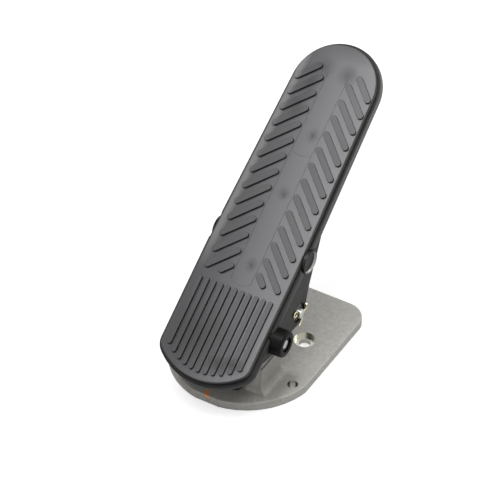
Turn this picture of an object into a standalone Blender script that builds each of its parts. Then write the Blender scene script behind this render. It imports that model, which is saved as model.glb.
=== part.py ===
# Foot brake treadle of a truck, on its mounting plate, with roller, plunger and boot.
# Metres, +Z up. The plate's underside is the plane z = 0, the origin is the centre of its round front,
# +Y runs from the heel of the pedal to its toe, and +X is the side on which the split pin sits.

import bpy
import bmesh
import math
from mathutils import Matrix, Vector

# Mounting plate
PLATE_THICKNESS = 0.0076
PLATE_FRONT_RADIUS = 0.0605
PLATE_HALF_WIDTH = 0.0594
FRONT_ARC_END = math.radians(10.94)
PLATE_BACK_Y = 0.0860
PLATE_BACK_CORNER = 0.0170
GATE_HALF_WIDTH = 0.0100
VALVE_AXIS_Y = 0.0125
VALVE_BOLT_CIRCLE = 0.0378
VALVE_BOLT_RADIUS = 0.0046
COUNTERBORE_RADIUS = 0.00845
COUNTERBORE_DEPTH = 0.0036
FLOOR_BOLT_CIRCLE = 0.0577
FLOOR_BOLT_RADIUS = 0.00415
GUIDE_RADIUS = 0.0130
GUIDE_HEIGHT = 0.0064

# Fulcrum lugs of the plate
LUG_INNER_X = 0.0210
LUG_OUTER_X = 0.0350
LUG_HEAD_X = 0.0300
LUG_LEDGE_Z = 0.0315
LUG_FRONT_Y = -0.0380
LUG_BACK_Y = -0.0080
LUG_FRONT_LEAN = 0.0028
LUG_FILLET = 0.0060
LUG_INNER_FILLET = 0.0012
LUG_HEAD_RADIUS = 0.0066
LEDGE_GROOVE_WIDTH = 0.0022
LEDGE_GROOVE_DEPTH = 0.0018
LEDGE_GROOVE_EDGE = 0.0008

# Fulcrum, pedal angle and pedal outline
FULCRUM_Y = -0.0259
FULCRUM_Z = 0.0556
PAD_ANGLE = math.radians(34.1)
FULCRUM_FROM_HEEL = 0.0519
FULCRUM_BELOW_PAD = 0.0150
PAD_LENGTH = 0.2800
PAD_HALF_WIDTH = 0.0383
TOE_RADIUS = 0.0342
TOE_SHIFT = 0.0005
TAPER_START = 0.1027
HEEL_RADIUS = 0.0518
HEEL_CORNER = 0.0110

# Rubber cover
COVER_THICKNESS = 0.0045
COVER_EDGE_ROUND = 0.0006
BAR_WIDTH = 0.0050
BAR_HEIGHT = 0.0020
BAR_PITCH = 0.0134
BAR_COUNT = 12
BAR_FIRST = 0.2317
BAR_REACH_RIGHT = (0.0318, 0.0132)
BAR_REACH_LEFT = (0.0294, 0.0114)
BAR_RISE = 0.0180
TOP_BAR_RUN = 0.0132
END_BAR_RUN = 0.0056
RIB_WIDTH = 0.0038
RIB_PITCH = 0.00612
RIB_COUNT = 11
RIB_TOP = 0.0731
RIB_MARGIN = 0.0053
RIB_SHIFT = 0.0004
STUD_PLACES = (0.0949, 0.1537, 0.2045)
STUD_RADIUS = 0.0036
STUD_HEAD_RADIUS = 0.0058
STUD_HEAD_HEIGHT = 0.0022
STUD_SEAT = 0.0004

# Pedal casting
RIM_LIP = 0.0027
RIM_BOTTOM = 0.0100
RIM_WALL = 0.0035
RIM_ROUND = 0.0013
DECK_THICKNESS = 0.0032
WEB_OUTER_X = 0.0385
WEB_THICKNESS = 0.0053
BOSS_RADIUS = 0.0106
BOSS_END_RIGHT = 0.0506
BOSS_END_LEFT = 0.0396
BOSS_ROUND = 0.0018
CUP_FROM_HEEL = 0.1159
CUP_BELOW_PAD = 0.0105
CUP_RADIUS = 0.0098
CUP_END_X = 0.0414
DISH_RADIUS = 0.0087
DISH_DEPTH = 0.0014
ROLLER_BOSS_RADIUS = 0.0085
SPOTFACE_RADIUS = 0.0092
SPOTFACE_DEPTH = 0.0022
RIB_PLATE = 0.0045
CENTRE_RIB_DEPTH = 0.0016

# Fulcrum pin and bushes
FULCRUM_PIN_RADIUS = 0.0041
FULCRUM_PIN_RECESS = 0.0025
BUSHING_WALL = 0.0014
BUSHING_RECESS = 0.0016
PIN_CHAMFER = 0.0006

# Roller, roller pin and plunger
ROLLER_PIN_Z = 0.0526
ROLLER_RADIUS = 0.0127
ROLLER_HALF_WIDTH = 0.0130
ROLLER_BUSHING_WALL = 0.0018
ROLLER_PIN_RADIUS = 0.0039
PIN_HEAD_RADIUS = 0.0060
PIN_HEAD_HEIGHT = 0.0024
WASHER_RADIUS = 0.0070
WASHER_THICKNESS = 0.0010
ROLLER_PIN_END = 0.0418
COTTER_WIRE = 0.00070
COTTER_FROM_END = 0.0026
COTTER_EYE_RADIUS = 0.0021
COTTER_LEG = 0.0075
COTTER_TILT = math.radians(-21)
PLUNGER_RADIUS = 0.0080
PLUNGER_NECK_RADIUS = 0.0068
PLUNGER_NECK_LOW = 0.0290
PLUNGER_NECK_HIGH = 0.0315
PLUNGER_CHAMFER = 0.0010
BOOT_WALL = 0.0013
BOOT_FOLDS = 3
BOOT_CREST_RADIUS = 0.0128
BOOT_ROOT_RADIUS = 0.0098

# Heel stops
STOP_X = 0.0145
STOP_Y = -0.0400
STOP_RADIUS = 0.0047
STOP_HEIGHT = 0.0120
STOP_STEM_RADIUS = 0.0022
STOP_LEG_HALF_WIDTH = 0.0045
STOP_LEG_HALF_DEPTH = 0.0055

# Fits
TOUCH_GAP = 0.0003
RUNNING_GAP = 0.0003
SIDE_GAP = 0.0006
WELD = 0.000001
ROUND_FACETS = 32
SMALL_FACETS = 16
FLAT_ANGLE = math.radians(45)

parts = None
cutters = None


# Scene, collections and materials

def clear_scene():
    for item in list(bpy.data.objects):
        bpy.data.objects.remove(item, do_unlink=True)


def new_collection(name):
    collection = bpy.data.collections.new(name)
    bpy.context.scene.collection.children.link(collection)
    return collection


def finish(name, colour, roughness, metallic):
    material = bpy.data.materials.new(name)
    material.use_nodes = True
    shader = material.node_tree.nodes["Principled BSDF"]
    shader.inputs["Base Color"].default_value = (*colour, 1.0)
    shader.inputs["Roughness"].default_value = roughness
    shader.inputs["Metallic"].default_value = metallic
    return material


# Objects

def add_object(name, mesh, parent=None):
    item = bpy.data.objects.new(name, mesh)
    cutters.objects.link(item)
    item.hide_render = True
    item.display_type = "WIRE"
    item.parent = parent
    return item


def make_part(item, material):
    cutters.objects.unlink(item)
    parts.objects.link(item)
    item.hide_render = False
    item.display_type = "TEXTURED"
    item.data.materials.clear()
    item.data.materials.append(material)
    item.data.shade_smooth()
    item.data.set_sharp_from_angle(angle=math.radians(30))
    return item


def combine(target, tool, operation):
    step = target.modifiers.new(tool.name, "BOOLEAN")
    step.operation = operation
    step.object = tool
    step.solver = "EXACT"
    return target


def join(target, *tools):
    for tool in tools:
        combine(target, tool, "UNION")
    return target


def cut(target, *tools):
    for tool in tools:
        combine(target, tool, "DIFFERENCE")
    return target


# Shapes

def arc(centre, radius, start, end, steps):
    points = []
    for i in range(steps + 1):
        angle = start + (end - start) * i / steps
        points.append((centre[0] + radius * math.cos(angle), centre[1] + radius * math.sin(angle)))
    return points


def round_corner(before, corner, after, radius, steps):
    to_before = (Vector(before) - Vector(corner)).normalized()
    to_after = (Vector(after) - Vector(corner)).normalized()
    half = to_before.angle(to_after) / 2
    reach = radius / math.tan(half)
    start = Vector(corner) + to_before * reach
    centre = Vector(corner) + (to_before + to_after).normalized() * (radius / math.sin(half))
    first = (start - centre)
    turn = math.pi - 2 * half
    side = 1 if to_before.cross(to_after) < 0 else -1
    points = []
    for i in range(steps + 1):
        spoke = first.copy()
        spoke.rotate(Matrix.Rotation(side * turn * i / steps, 2))
        points.append(tuple(centre + spoke))
    return points


def flat_solid(name, outline, low, high, parent=None, along_x=False):
    """A flat outline, thickened from low to high along Z, or along X with the outline read as (y, z)."""
    curve = bpy.data.curves.new(name, "CURVE")
    curve.dimensions = "2D"
    curve.fill_mode = "BOTH"
    curve.extrude = (high - low) / 2
    spline = curve.splines.new("POLY")
    spline.points.add(len(outline) - 1)
    for point, place in zip(spline.points, outline):
        point.co = (place[0], place[1], 0, 1)
    spline.use_cyclic_u = True
    item = bpy.data.objects.new(name, curve)
    cutters.objects.link(item)
    bpy.context.view_layer.update()
    mesh = bpy.data.meshes.new_from_object(item.evaluated_get(bpy.context.evaluated_depsgraph_get()))
    bpy.data.objects.remove(item, do_unlink=True)
    shape = bmesh.new()
    shape.from_mesh(mesh)
    bmesh.ops.remove_doubles(shape, verts=shape.verts, dist=WELD)
    lift = Matrix.Translation((0, 0, (low + high) / 2))
    if along_x:
        turn = Matrix(((0, 0, 1, 0), (1, 0, 0, 0), (0, 1, 0, 0), (0, 0, 0, 1)))
        lift = turn @ lift
    bmesh.ops.transform(shape, matrix=lift, verts=shape.verts)
    bmesh.ops.recalc_face_normals(shape, faces=shape.faces)
    shape.to_mesh(mesh)
    shape.free()
    mesh.name = name
    return add_object(name, mesh, parent)


def rod(name, radius, start, end, parent=None, facets=ROUND_FACETS):
    """A cylinder from one point to another."""
    axis = Vector(end) - Vector(start)
    place = Matrix.Translation((Vector(start) + Vector(end)) / 2)
    place = place @ axis.to_track_quat("Z", "Y").to_matrix().to_4x4()
    shape = bmesh.new()
    bmesh.ops.create_cone(shape, cap_ends=True, segments=facets, radius1=radius, radius2=radius,
                          depth=axis.length, matrix=place)
    mesh = bpy.data.meshes.new(name)
    shape.to_mesh(mesh)
    shape.free()
    return add_object(name, mesh, parent)


def block(name, low, high, parent=None):
    """A box between two corners."""
    size = Vector(high) - Vector(low)
    place = Matrix.Translation((Vector(low) + Vector(high)) / 2) @ Matrix.Diagonal((*size, 1))
    shape = bmesh.new()
    bmesh.ops.create_cube(shape, size=1, matrix=place)
    mesh = bpy.data.meshes.new(name)
    shape.to_mesh(mesh)
    shape.free()
    return add_object(name, mesh, parent)


def turned(name, profile, place, closed=False, facets=ROUND_FACETS, parent=None, along_x=False):
    """A profile of (radius, height) points, turned about the line through place along Z or X."""
    mesh = bpy.data.meshes.new(name)
    links = [(i, i + 1) for i in range(len(profile) - 1)]
    if closed:
        links.append((len(profile) - 1, 0))
    mesh.from_pydata([(radius, 0, height) for radius, height in profile], links, [])
    item = add_object(name, mesh, parent)
    item.location = place
    if along_x:
        item.rotation_euler = (0, math.radians(90), 0)
    spin = item.modifiers.new("turn", "SCREW")
    spin.angle = math.radians(360)
    spin.steps = facets
    spin.render_steps = facets
    spin.use_merge_vertices = True
    spin.merge_threshold = 0.00001
    return item


def bevel_where(item, test, width, segments):
    shape = bmesh.new()
    shape.from_mesh(item.data)
    edges = [edge for edge in shape.edges if test(edge) and edge.calc_face_angle(0) > FLAT_ANGLE]
    bmesh.ops.bevel(shape, geom=edges, offset=width, segments=segments, profile=0.5, affect="EDGES",
                    clamp_overlap=True)
    shape.to_mesh(item.data)
    shape.free()


def both_ends_at(edge, axis, value):
    return all(abs(vert.co[axis] - value) < WELD for vert in edge.verts)


def boss_end(side):
    """The right boss stands out past the rim, the left one stops under it."""
    return BOSS_END_RIGHT if side > 0 else BOSS_END_LEFT


# The pedal's own frame: origin on the fulcrum, y towards the toe, z square to the pad

def from_heel(distance):
    return distance - FULCRUM_FROM_HEEL


def below_pad(depth):
    return FULCRUM_BELOW_PAD - depth


def to_pedal(y, z):
    """A place at rest, given in the plate's frame, as (y, z) of the pedal's frame."""
    dy = y - FULCRUM_Y
    dz = z - FULCRUM_Z
    return (dy * math.cos(PAD_ANGLE) + dz * math.sin(PAD_ANGLE),
            dz * math.cos(PAD_ANGLE) - dy * math.sin(PAD_ANGLE))


def pad_half_width(distance):
    """Half the pad's width where its sides are straight."""
    toe_centre = PAD_LENGTH - TOE_RADIUS
    share = max(0.0, (distance - TAPER_START) / (toe_centre - TAPER_START))
    return PAD_HALF_WIDTH + (TOE_RADIUS - PAD_HALF_WIDTH) * share


def half_outline(side, offset):
    """One half of the pad's outline, drawn on the right: the toe is shifted a little to the right."""
    toe_centre = from_heel(PAD_LENGTH - TOE_RADIUS)
    right = arc((side * TOE_SHIFT, toe_centre), TOE_RADIUS + offset, 0, math.pi / 2, 12)
    right.insert(0, (pad_half_width(TAPER_START) + offset, from_heel(TAPER_START)))
    side = PAD_HALF_WIDTH + offset
    heel_centre = from_heel(HEEL_RADIUS)
    radius = HEEL_RADIUS + offset
    corner_radius = HEEL_CORNER + offset
    corner_x = side - corner_radius
    drop = math.sqrt((radius - corner_radius) ** 2 - corner_x ** 2)
    corner = (corner_x, heel_centre - drop)
    meet = math.atan2(-drop, corner_x)
    heel = arc((0, heel_centre), radius, -math.pi / 2, meet, 8)
    blend = arc(corner, corner_radius, meet, 0, 5)
    return heel + blend[1:] + right


def pad_outline(offset):
    """The pad's outline in its own frame, grown by offset."""
    left = half_outline(-1, offset)
    return half_outline(1, offset) + [(-x, y) for x, y in reversed(left[1:-1])]


def stadium(first, second, width):
    """A bar with round ends between two centres."""
    along = math.atan2(second[1] - first[1], second[0] - first[0])
    quarter = math.pi / 2
    points = arc(second, width / 2, along - quarter, along + quarter, 3)
    points += arc(first, width / 2, along + quarter, along + 3 * quarter, 3)
    return points


# Mounting plate

def plate_outline():
    """A round front that meets the straight sides, a short flat at its middle, and round corners."""
    start = math.asin(GATE_HALF_WIDTH / PLATE_HALF_WIDTH) - math.pi / 2
    front = arc((0, 0), PLATE_FRONT_RADIUS, start, -FRONT_ARC_END, 16)
    spread = PLATE_HALF_WIDTH / (PLATE_FRONT_RADIUS * math.cos(FRONT_ARC_END))
    right = [(x * spread, y) for x, y in front]
    corner = (PLATE_HALF_WIDTH - PLATE_BACK_CORNER, PLATE_BACK_Y - PLATE_BACK_CORNER)
    right += arc(corner, PLATE_BACK_CORNER, 0, math.pi / 2, 8)
    return right + [(-x, y) for x, y in reversed(right)]


def circle_places(radius, first_degrees):
    places = []
    for i in range(3):
        angle = math.radians(first_degrees + 120 * i)
        places.append((radius * math.cos(angle), VALVE_AXIS_Y + radius * math.sin(angle)))
    return places


def lug(side):
    """One fulcrum lug: its section across the plate, cut to its shape seen from the side."""
    top = PLATE_THICKNESS
    inner = LUG_INNER_X
    outer = LUG_OUTER_X
    fillet = LUG_FILLET
    head_top = FULCRUM_Z + LUG_HEAD_RADIUS + LUG_FILLET
    small = LUG_INNER_FILLET
    section = [(inner - small, top - fillet / 4), (outer + fillet, top - fillet / 4)]
    section += arc((outer + fillet, top + fillet), fillet, -math.pi / 2, -math.pi, 5)
    section += [(outer, LUG_LEDGE_Z - LEDGE_GROOVE_DEPTH / 2)]
    groove_outer = outer - LEDGE_GROOVE_EDGE
    groove_inner = groove_outer - LEDGE_GROOVE_WIDTH
    section += [(groove_outer, LUG_LEDGE_Z - LEDGE_GROOVE_DEPTH / 2)]
    section += [(groove_outer, LUG_LEDGE_Z - LEDGE_GROOVE_DEPTH)]
    section += [(groove_inner, LUG_LEDGE_Z - LEDGE_GROOVE_DEPTH), (groove_inner, LUG_LEDGE_Z)]
    section += [(LUG_HEAD_X, LUG_LEDGE_Z), (LUG_HEAD_X, head_top), (inner, head_top)]
    section += arc((inner - small, top + small), small, 0, -math.pi / 2, 3)
    name = "lug_section_right" if side > 0 else "lug_section_left"
    points = [(side * x, z) for x, z in section]
    body = flat_solid(name, points, 0, LUG_BACK_Y - LUG_FRONT_Y + 2 * LUG_FILLET)
    reach = LUG_FRONT_Y - LUG_FILLET
    body.data.transform(Matrix(((1, 0, 0, 0), (0, 0, 1, reach), (0, 1, 0, 0), (0, 0, 0, 1))))
    body.data.flip_normals()
    foot = top - fillet / 4
    profile = [(LUG_BACK_Y + fillet, foot)]
    profile += arc((LUG_BACK_Y + fillet, top + fillet), fillet, -math.pi / 2, -math.pi, 5)
    profile += arc((FULCRUM_Y, FULCRUM_Z), LUG_HEAD_RADIUS, math.radians(10), math.radians(170), 12)
    profile += [(LUG_FRONT_Y + LUG_FRONT_LEAN, LUG_LEDGE_Z)]
    profile += [(LUG_FRONT_Y, top + LUG_FRONT_LEAN), (LUG_FRONT_Y - LUG_FRONT_LEAN, foot)]
    low = inner - 2 * fillet
    high = outer + 2 * fillet
    span = (low, high) if side > 0 else (-high, -low)
    shape = flat_solid(name.replace("section", "side"), profile, *span, along_x=True)
    return combine(body, shape, "INTERSECT")


def mounting_plate(material):
    plate = flat_solid("mounting_plate", plate_outline(), 0, PLATE_THICKNESS)
    bevel_where(plate, lambda edge: both_ends_at(edge, 2, PLATE_THICKNESS), 0.0006, 1)
    top = PLATE_THICKNESS
    guide = rod("guide_boss", GUIDE_RADIUS, (0, VALVE_AXIS_Y, top / 2),
                (0, VALVE_AXIS_Y, top + GUIDE_HEIGHT))
    join(plate, lug(1), lug(-1), guide)
    through = (-top, 2 * top + GUIDE_HEIGHT)
    cut(plate, rod("plunger_bore", PLUNGER_RADIUS + RUNNING_GAP, (0, VALVE_AXIS_Y, through[0]),
                   (0, VALVE_AXIS_Y, through[1])))
    for i, (x, y) in enumerate(circle_places(VALVE_BOLT_CIRCLE, 30)):
        floor = top - COUNTERBORE_DEPTH
        cut(plate, rod(f"counterbore_{i}", COUNTERBORE_RADIUS, (x, y, floor), (x, y, 2 * top)),
            rod(f"valve_bolt_hole_{i}", VALVE_BOLT_RADIUS, (x, y, -top), (x, y, top), facets=SMALL_FACETS))
    for i, (x, y) in enumerate(circle_places(FLOOR_BOLT_CIRCLE, -30)):
        cut(plate, rod(f"floor_bolt_hole_{i}", FLOOR_BOLT_RADIUS, (x, y, -top), (x, y, 2 * top),
                       facets=SMALL_FACETS))
    reach = LUG_OUTER_X + LUG_FILLET
    cut(plate, rod("fulcrum_bore", FULCRUM_PIN_RADIUS + TOUCH_GAP, (-reach, FULCRUM_Y, FULCRUM_Z),
                   (reach, FULCRUM_Y, FULCRUM_Z)))
    for side in (1, -1):
        cut(plate, rod(f"stop_hole_{side}", STOP_STEM_RADIUS + TOUCH_GAP, (side * STOP_X, STOP_Y, -top),
                       (side * STOP_X, STOP_Y, 2 * top), facets=SMALL_FACETS))
    return make_part(plate, material)


def stop_button(name, side, material):
    top = PLATE_THICKNESS + TOUCH_GAP
    profile = [(0, top + STOP_HEIGHT), (STOP_RADIUS - PLUNGER_CHAMFER, top + STOP_HEIGHT),
               (STOP_RADIUS, top + STOP_HEIGHT - PLUNGER_CHAMFER), (STOP_RADIUS, top),
               (STOP_STEM_RADIUS, top), (STOP_STEM_RADIUS, PLATE_THICKNESS / 4), (0, PLATE_THICKNESS / 4)]
    return make_part(turned(name, profile, (side * STOP_X, STOP_Y, 0), facets=SMALL_FACETS), material)


# Plunger and boot

def plunger_top():
    return ROLLER_PIN_Z - ROLLER_RADIUS - TOUCH_GAP


def plunger(material):
    top = plunger_top()
    low = TOUCH_GAP
    full = PLUNGER_RADIUS
    edge = full - PLUNGER_CHAMFER
    profile = [(0, top), (edge, top), (full, top - PLUNGER_CHAMFER), (full, PLUNGER_NECK_HIGH),
               (PLUNGER_NECK_RADIUS, PLUNGER_NECK_HIGH), (PLUNGER_NECK_RADIUS, PLUNGER_NECK_LOW),
               (full, PLUNGER_NECK_LOW), (full, low + PLUNGER_CHAMFER), (edge, low), (0, low)]
    return make_part(turned("plunger", profile, (0, VALVE_AXIS_Y, 0)), material)


def boot_outside():
    """The boot's outer line, from its lip in the plunger's neck down to its collar on the guide."""
    lip = PLUNGER_NECK_HIGH - TOUCH_GAP
    low = PLATE_THICKNESS + GUIDE_HEIGHT + BOOT_WALL + TOUCH_GAP
    points = [(BOOT_ROOT_RADIUS, lip)]
    fold = (lip - BOOT_WALL - low) / BOOT_FOLDS
    for i in range(BOOT_FOLDS):
        points.append((BOOT_ROOT_RADIUS, lip - BOOT_WALL - fold * i))
        points.append((BOOT_CREST_RADIUS, lip - BOOT_WALL - fold * (i + 0.5)))
    points.append((BOOT_ROOT_RADIUS, low))
    return points


def plunger_boot(material):
    wall = BOOT_WALL
    outside = boot_outside()
    lip_low = PLUNGER_NECK_LOW + TOUCH_GAP
    collar_inner = GUIDE_RADIUS + TOUCH_GAP
    collar_outer = collar_inner + wall
    low = outside[-1][1]
    foot = PLATE_THICKNESS + TOUCH_GAP
    profile = [(PLUNGER_NECK_RADIUS + TOUCH_GAP, outside[0][1])]
    profile += outside
    profile += [(collar_outer, low), (collar_outer, foot), (collar_inner, foot)]
    profile += [(collar_inner, low - wall), (PLUNGER_RADIUS + 2 * TOUCH_GAP, low - wall)]
    inside = [(radius - wall, height) for radius, height in reversed(outside[2:-1])]
    profile += [(PLUNGER_RADIUS + 2 * TOUCH_GAP, low)] + inside
    profile += [(PLUNGER_RADIUS + 2 * TOUCH_GAP, lip_low), (PLUNGER_NECK_RADIUS + TOUCH_GAP, lip_low)]
    return make_part(turned("plunger_boot", profile, (0, VALVE_AXIS_Y, 0), closed=True), material)


# Pedal casting

def web(side, parent):
    """A deep side web, from just behind the heel to the slim toe end, deepest under the roller pin."""
    edge = [(0.018, 0.0090), (0.030, 0.0150), (0.042, 0.0270), (0.060, 0.0380), (0.070, 0.0445),
            (0.075, 0.0480), (0.079, 0.0495), (0.084, 0.0492), (0.089, 0.0465), (0.094, 0.0420),
            (0.104, 0.0345), (0.117, 0.0270), (0.129, 0.0205), (0.139, 0.0145), (0.146, 0.0110),
            (0.152, 0.0090)]
    points = [(from_heel(v), below_pad(depth)) for v, depth in edge]
    buried = below_pad(deck_low() - DECK_THICKNESS / 2)
    points += [(points[-1][0], buried), (points[0][0], buried)]
    low = WEB_OUTER_X - WEB_THICKNESS
    span = (low, WEB_OUTER_X) if side > 0 else (-WEB_OUTER_X, -low)
    return flat_solid(f"web_{side}", points, *span, parent=parent, along_x=True)


def deck_top():
    return COVER_THICKNESS + TOUCH_GAP


def deck_low():
    return deck_top() + DECK_THICKNESS


def stop_leg(side, parent):
    """The leg under the deck that rests on a stop button, its foot level when the pedal is at rest."""
    foot = PLATE_THICKNESS + STOP_HEIGHT + 2 * TOUCH_GAP
    front = to_pedal(STOP_Y - STOP_LEG_HALF_DEPTH, foot)
    back = to_pedal(STOP_Y + STOP_LEG_HALF_DEPTH, foot)
    buried = below_pad(deck_low() - DECK_THICKNESS / 2)
    points = [front, back, (back[0] + STOP_LEG_HALF_DEPTH, buried), (front[0] - STOP_LEG_HALF_DEPTH, buried)]
    low = side * STOP_X - STOP_LEG_HALF_WIDTH
    high = side * STOP_X + STOP_LEG_HALF_WIDTH
    return flat_solid(f"stop_leg_{side}", points, low, high, parent=parent, along_x=True)


def side_cup(side, parent):
    """The round boss cast high on the web's outside, cut back where the cover lies."""
    place = (from_heel(CUP_FROM_HEEL), below_pad(CUP_BELOW_PAD))
    start = side * (WEB_OUTER_X - WEB_THICKNESS / 2)
    cup = rod(f"side_cup_{side}", CUP_RADIUS, (start, *place), (side * CUP_END_X, *place), parent)
    clear = side * (PAD_HALF_WIDTH + 2 * TOUCH_GAP)
    room = block(f"cover_room_{side}", (min(0, clear), place[0] - 2 * CUP_RADIUS, below_pad(deck_top())),
                 (max(0, clear), place[0] + 2 * CUP_RADIUS, 2 * CUP_RADIUS), parent)
    cut(cup, room)
    return cup


def treadle(parent, material):
    deck = flat_solid("treadle", pad_outline(RIM_LIP), below_pad(RIM_BOTTOM), below_pad(deck_top()), parent)
    bevel_where(deck, lambda edge: both_ends_at(edge, 2, below_pad(deck_top())), RIM_ROUND, 2)
    tray = flat_solid("tray_cut", pad_outline(RIM_LIP - RIM_WALL), below_pad(2 * RIM_BOTTOM),
                      below_pad(deck_low()), parent)
    cut(deck, tray)
    roller_y, roller_z = to_pedal(VALVE_AXIS_Y, ROLLER_PIN_Z)
    web_inner = WEB_OUTER_X - WEB_THICKNESS
    buried = below_pad(deck_low() - DECK_THICKNESS / 2)
    boss_inner = LUG_HEAD_X + SIDE_GAP
    roller_gap = ROLLER_HALF_WIDTH + SIDE_GAP
    for side in (1, -1):
        join(deck, web(side, parent), stop_leg(side, parent))
        boss = rod(f"fulcrum_boss_{side}", BOSS_RADIUS, (side * boss_inner, 0, 0),
                   (side * boss_end(side), 0, 0), parent)
        bevel_where(boss, lambda edge: both_ends_at(edge, 0, side * boss_end(side)), BOSS_ROUND, 3)
        trim_low = (side * boss_inner - BOSS_RADIUS, -2 * BOSS_RADIUS, below_pad(deck_top()))
        trim_high = (side * boss_inner + BOSS_RADIUS, 2 * BOSS_RADIUS, 2 * BOSS_RADIUS)
        top_trim = block(f"boss_trim_{side}", trim_low, trim_high, parent)
        cut(boss, top_trim)
        inner_boss = rod(f"roller_boss_{side}", ROLLER_BOSS_RADIUS, (side * roller_gap, roller_y, roller_z),
                         (side * (web_inner + WEB_THICKNESS / 2), roller_y, roller_z), parent)
        rib_low = min(side * roller_gap, side * (web_inner + WEB_THICKNESS / 2))
        rib_high = max(side * roller_gap, side * (web_inner + WEB_THICKNESS / 2))
        rib = block(f"cross_rib_{side}", (rib_low, roller_y - RIB_PLATE / 2, roller_z),
                    (rib_high, roller_y + RIB_PLATE / 2, buried), parent)
        join(deck, boss, inner_boss, rib, side_cup(side, parent))
    rim_middle = PAD_LENGTH + RIM_LIP - RIM_WALL / 2
    rib_low = below_pad(deck_low() + CENTRE_RIB_DEPTH)
    toe_rib = block("centre_rib", (-RIB_PLATE / 2, roller_y + 2 * ROLLER_RADIUS, rib_low),
                    (RIB_PLATE / 2, from_heel(rim_middle), buried), parent)
    join(deck, toe_rib)
    cut_treadle(deck, parent, roller_y, roller_z)
    return make_part(deck, material)


def cut_treadle(deck, parent, roller_y, roller_z):
    """Bores, spotfaces, the side cups' dishes and the holes for the cover's studs."""
    reach = BOSS_END_RIGHT + BOSS_RADIUS
    bore = FULCRUM_PIN_RADIUS + RUNNING_GAP + BUSHING_WALL + TOUCH_GAP
    dish = (from_heel(CUP_FROM_HEEL), below_pad(CUP_BELOW_PAD))
    for side in (1, -1):
        start = side * LUG_INNER_X
        cut(deck, rod(f"bush_bore_{side}", bore, (start, 0, 0), (side * reach, 0, 0), parent),
            rod(f"pin_spotface_{side}", SPOTFACE_RADIUS, (side * pin_seat(), roller_y, roller_z),
                (side * reach, roller_y, roller_z), parent),
            rod(f"dish_{side}", DISH_RADIUS, (side * (CUP_END_X - DISH_DEPTH), *dish),
                (side * reach, *dish), parent))
    cut(deck, rod("roller_pin_bore", ROLLER_PIN_RADIUS + TOUCH_GAP, (-reach, roller_y, roller_z),
                  (reach, roller_y, roller_z), parent, SMALL_FACETS))
    for i, place in enumerate(STUD_PLACES):
        y = from_heel(place)
        cut(deck, rod(f"stud_hole_{i}", STUD_RADIUS + TOUCH_GAP, (0, y, below_pad(2 * RIM_BOTTOM)),
                      (0, y, below_pad(0)), parent, SMALL_FACETS),
            rod(f"stud_room_{i}", STUD_HEAD_RADIUS + TOUCH_GAP, (0, y, below_pad(2 * RIM_BOTTOM)),
                (0, y, below_pad(deck_low() - STUD_SEAT)), parent, SMALL_FACETS))


# Rubber cover

def tread_bars():
    """Centres of every raised bar: chevrons, their short end bars and the heel ribs."""
    bars = []
    for side, (outer, inner) in ((1, BAR_REACH_RIGHT), (-1, BAR_REACH_LEFT)):
        for i in range(BAR_COUNT):
            v = BAR_FIRST - BAR_PITCH * i
            bars.append(((side * outer, v), (side * inner, v + BAR_RISE), BAR_WIDTH))
        v = BAR_FIRST + BAR_PITCH
        bars.append(((side * outer, v), (side * (outer - TOP_BAR_RUN), v + TOP_BAR_RUN), BAR_WIDTH))
        v = BAR_FIRST - BAR_PITCH * (BAR_COUNT - 1)
        bars.append(((side * (inner + END_BAR_RUN), v), (side * inner, v + END_BAR_RUN), BAR_WIDTH))
    middle = (RIB_COUNT - 1) / 2
    for i in range(RIB_COUNT):
        x = (i - middle) * RIB_PITCH
        arc_radius = HEEL_RADIUS - RIB_MARGIN - RIB_WIDTH / 2
        v = HEEL_RADIUS - math.sqrt(arc_radius ** 2 - x ** 2)
        bars.append(((x + RIB_SHIFT, v), (x + RIB_SHIFT, RIB_TOP), RIB_WIDTH))
    return bars


def treadle_cover(parent, material):
    cover = flat_solid("treadle_cover", pad_outline(0), below_pad(COVER_THICKNESS), below_pad(0), parent)
    bevel_where(cover, lambda edge: both_ends_at(edge, 2, below_pad(0)), COVER_EDGE_ROUND, 1)
    for i, (first, second, width) in enumerate(tread_bars()):
        ends = [(x, from_heel(v)) for x, v in (first, second)]
        bar = flat_solid(f"tread_bar_{i}", stadium(*ends, width), below_pad(COVER_THICKNESS / 4),
                         below_pad(-BAR_HEIGHT), parent)
        join(cover, bar)
    for i, place in enumerate(STUD_PLACES):
        y = from_heel(place)
        head_top = below_pad(deck_low() - STUD_SEAT + TOUCH_GAP)
        join(cover, rod(f"stud_{i}", STUD_RADIUS, (0, y, head_top - STUD_HEAD_HEIGHT / 2),
                        (0, y, below_pad(COVER_THICKNESS / 2)), parent, SMALL_FACETS),
             rod(f"stud_head_{i}", STUD_HEAD_RADIUS, (0, y, head_top - STUD_HEAD_HEIGHT),
                 (0, y, head_top), parent, SMALL_FACETS))
    return make_part(cover, material)


# Pins, bushes and roller

def fulcrum_pin(material):
    radius = FULCRUM_PIN_RADIUS
    right = boss_end(1) - FULCRUM_PIN_RECESS
    left = -(boss_end(-1) - FULCRUM_PIN_RECESS)
    profile = [(0, right), (radius - PIN_CHAMFER, right), (radius, right - PIN_CHAMFER),
               (radius, left + PIN_CHAMFER), (radius - PIN_CHAMFER, left), (0, left)]
    return make_part(turned("fulcrum_pin", profile, (0, FULCRUM_Y, FULCRUM_Z), along_x=True), material)


def bushing(name, side, parent, material):
    inner = FULCRUM_PIN_RADIUS + RUNNING_GAP
    outer = inner + BUSHING_WALL
    near = LUG_HEAD_X + SIDE_GAP
    far = boss_end(side) - BUSHING_RECESS
    ends = (near, far) if side > 0 else (-far, -near)
    profile = [(inner, ends[1]), (outer, ends[1]), (outer, ends[0]), (inner, ends[0])]
    return make_part(turned(name, profile, (0, 0, 0), closed=True, parent=parent, along_x=True), material)


def pin_seat():
    """Where the roller pin's head and washer sit: the floor of the spotface."""
    return WEB_OUTER_X - SPOTFACE_DEPTH


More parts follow.
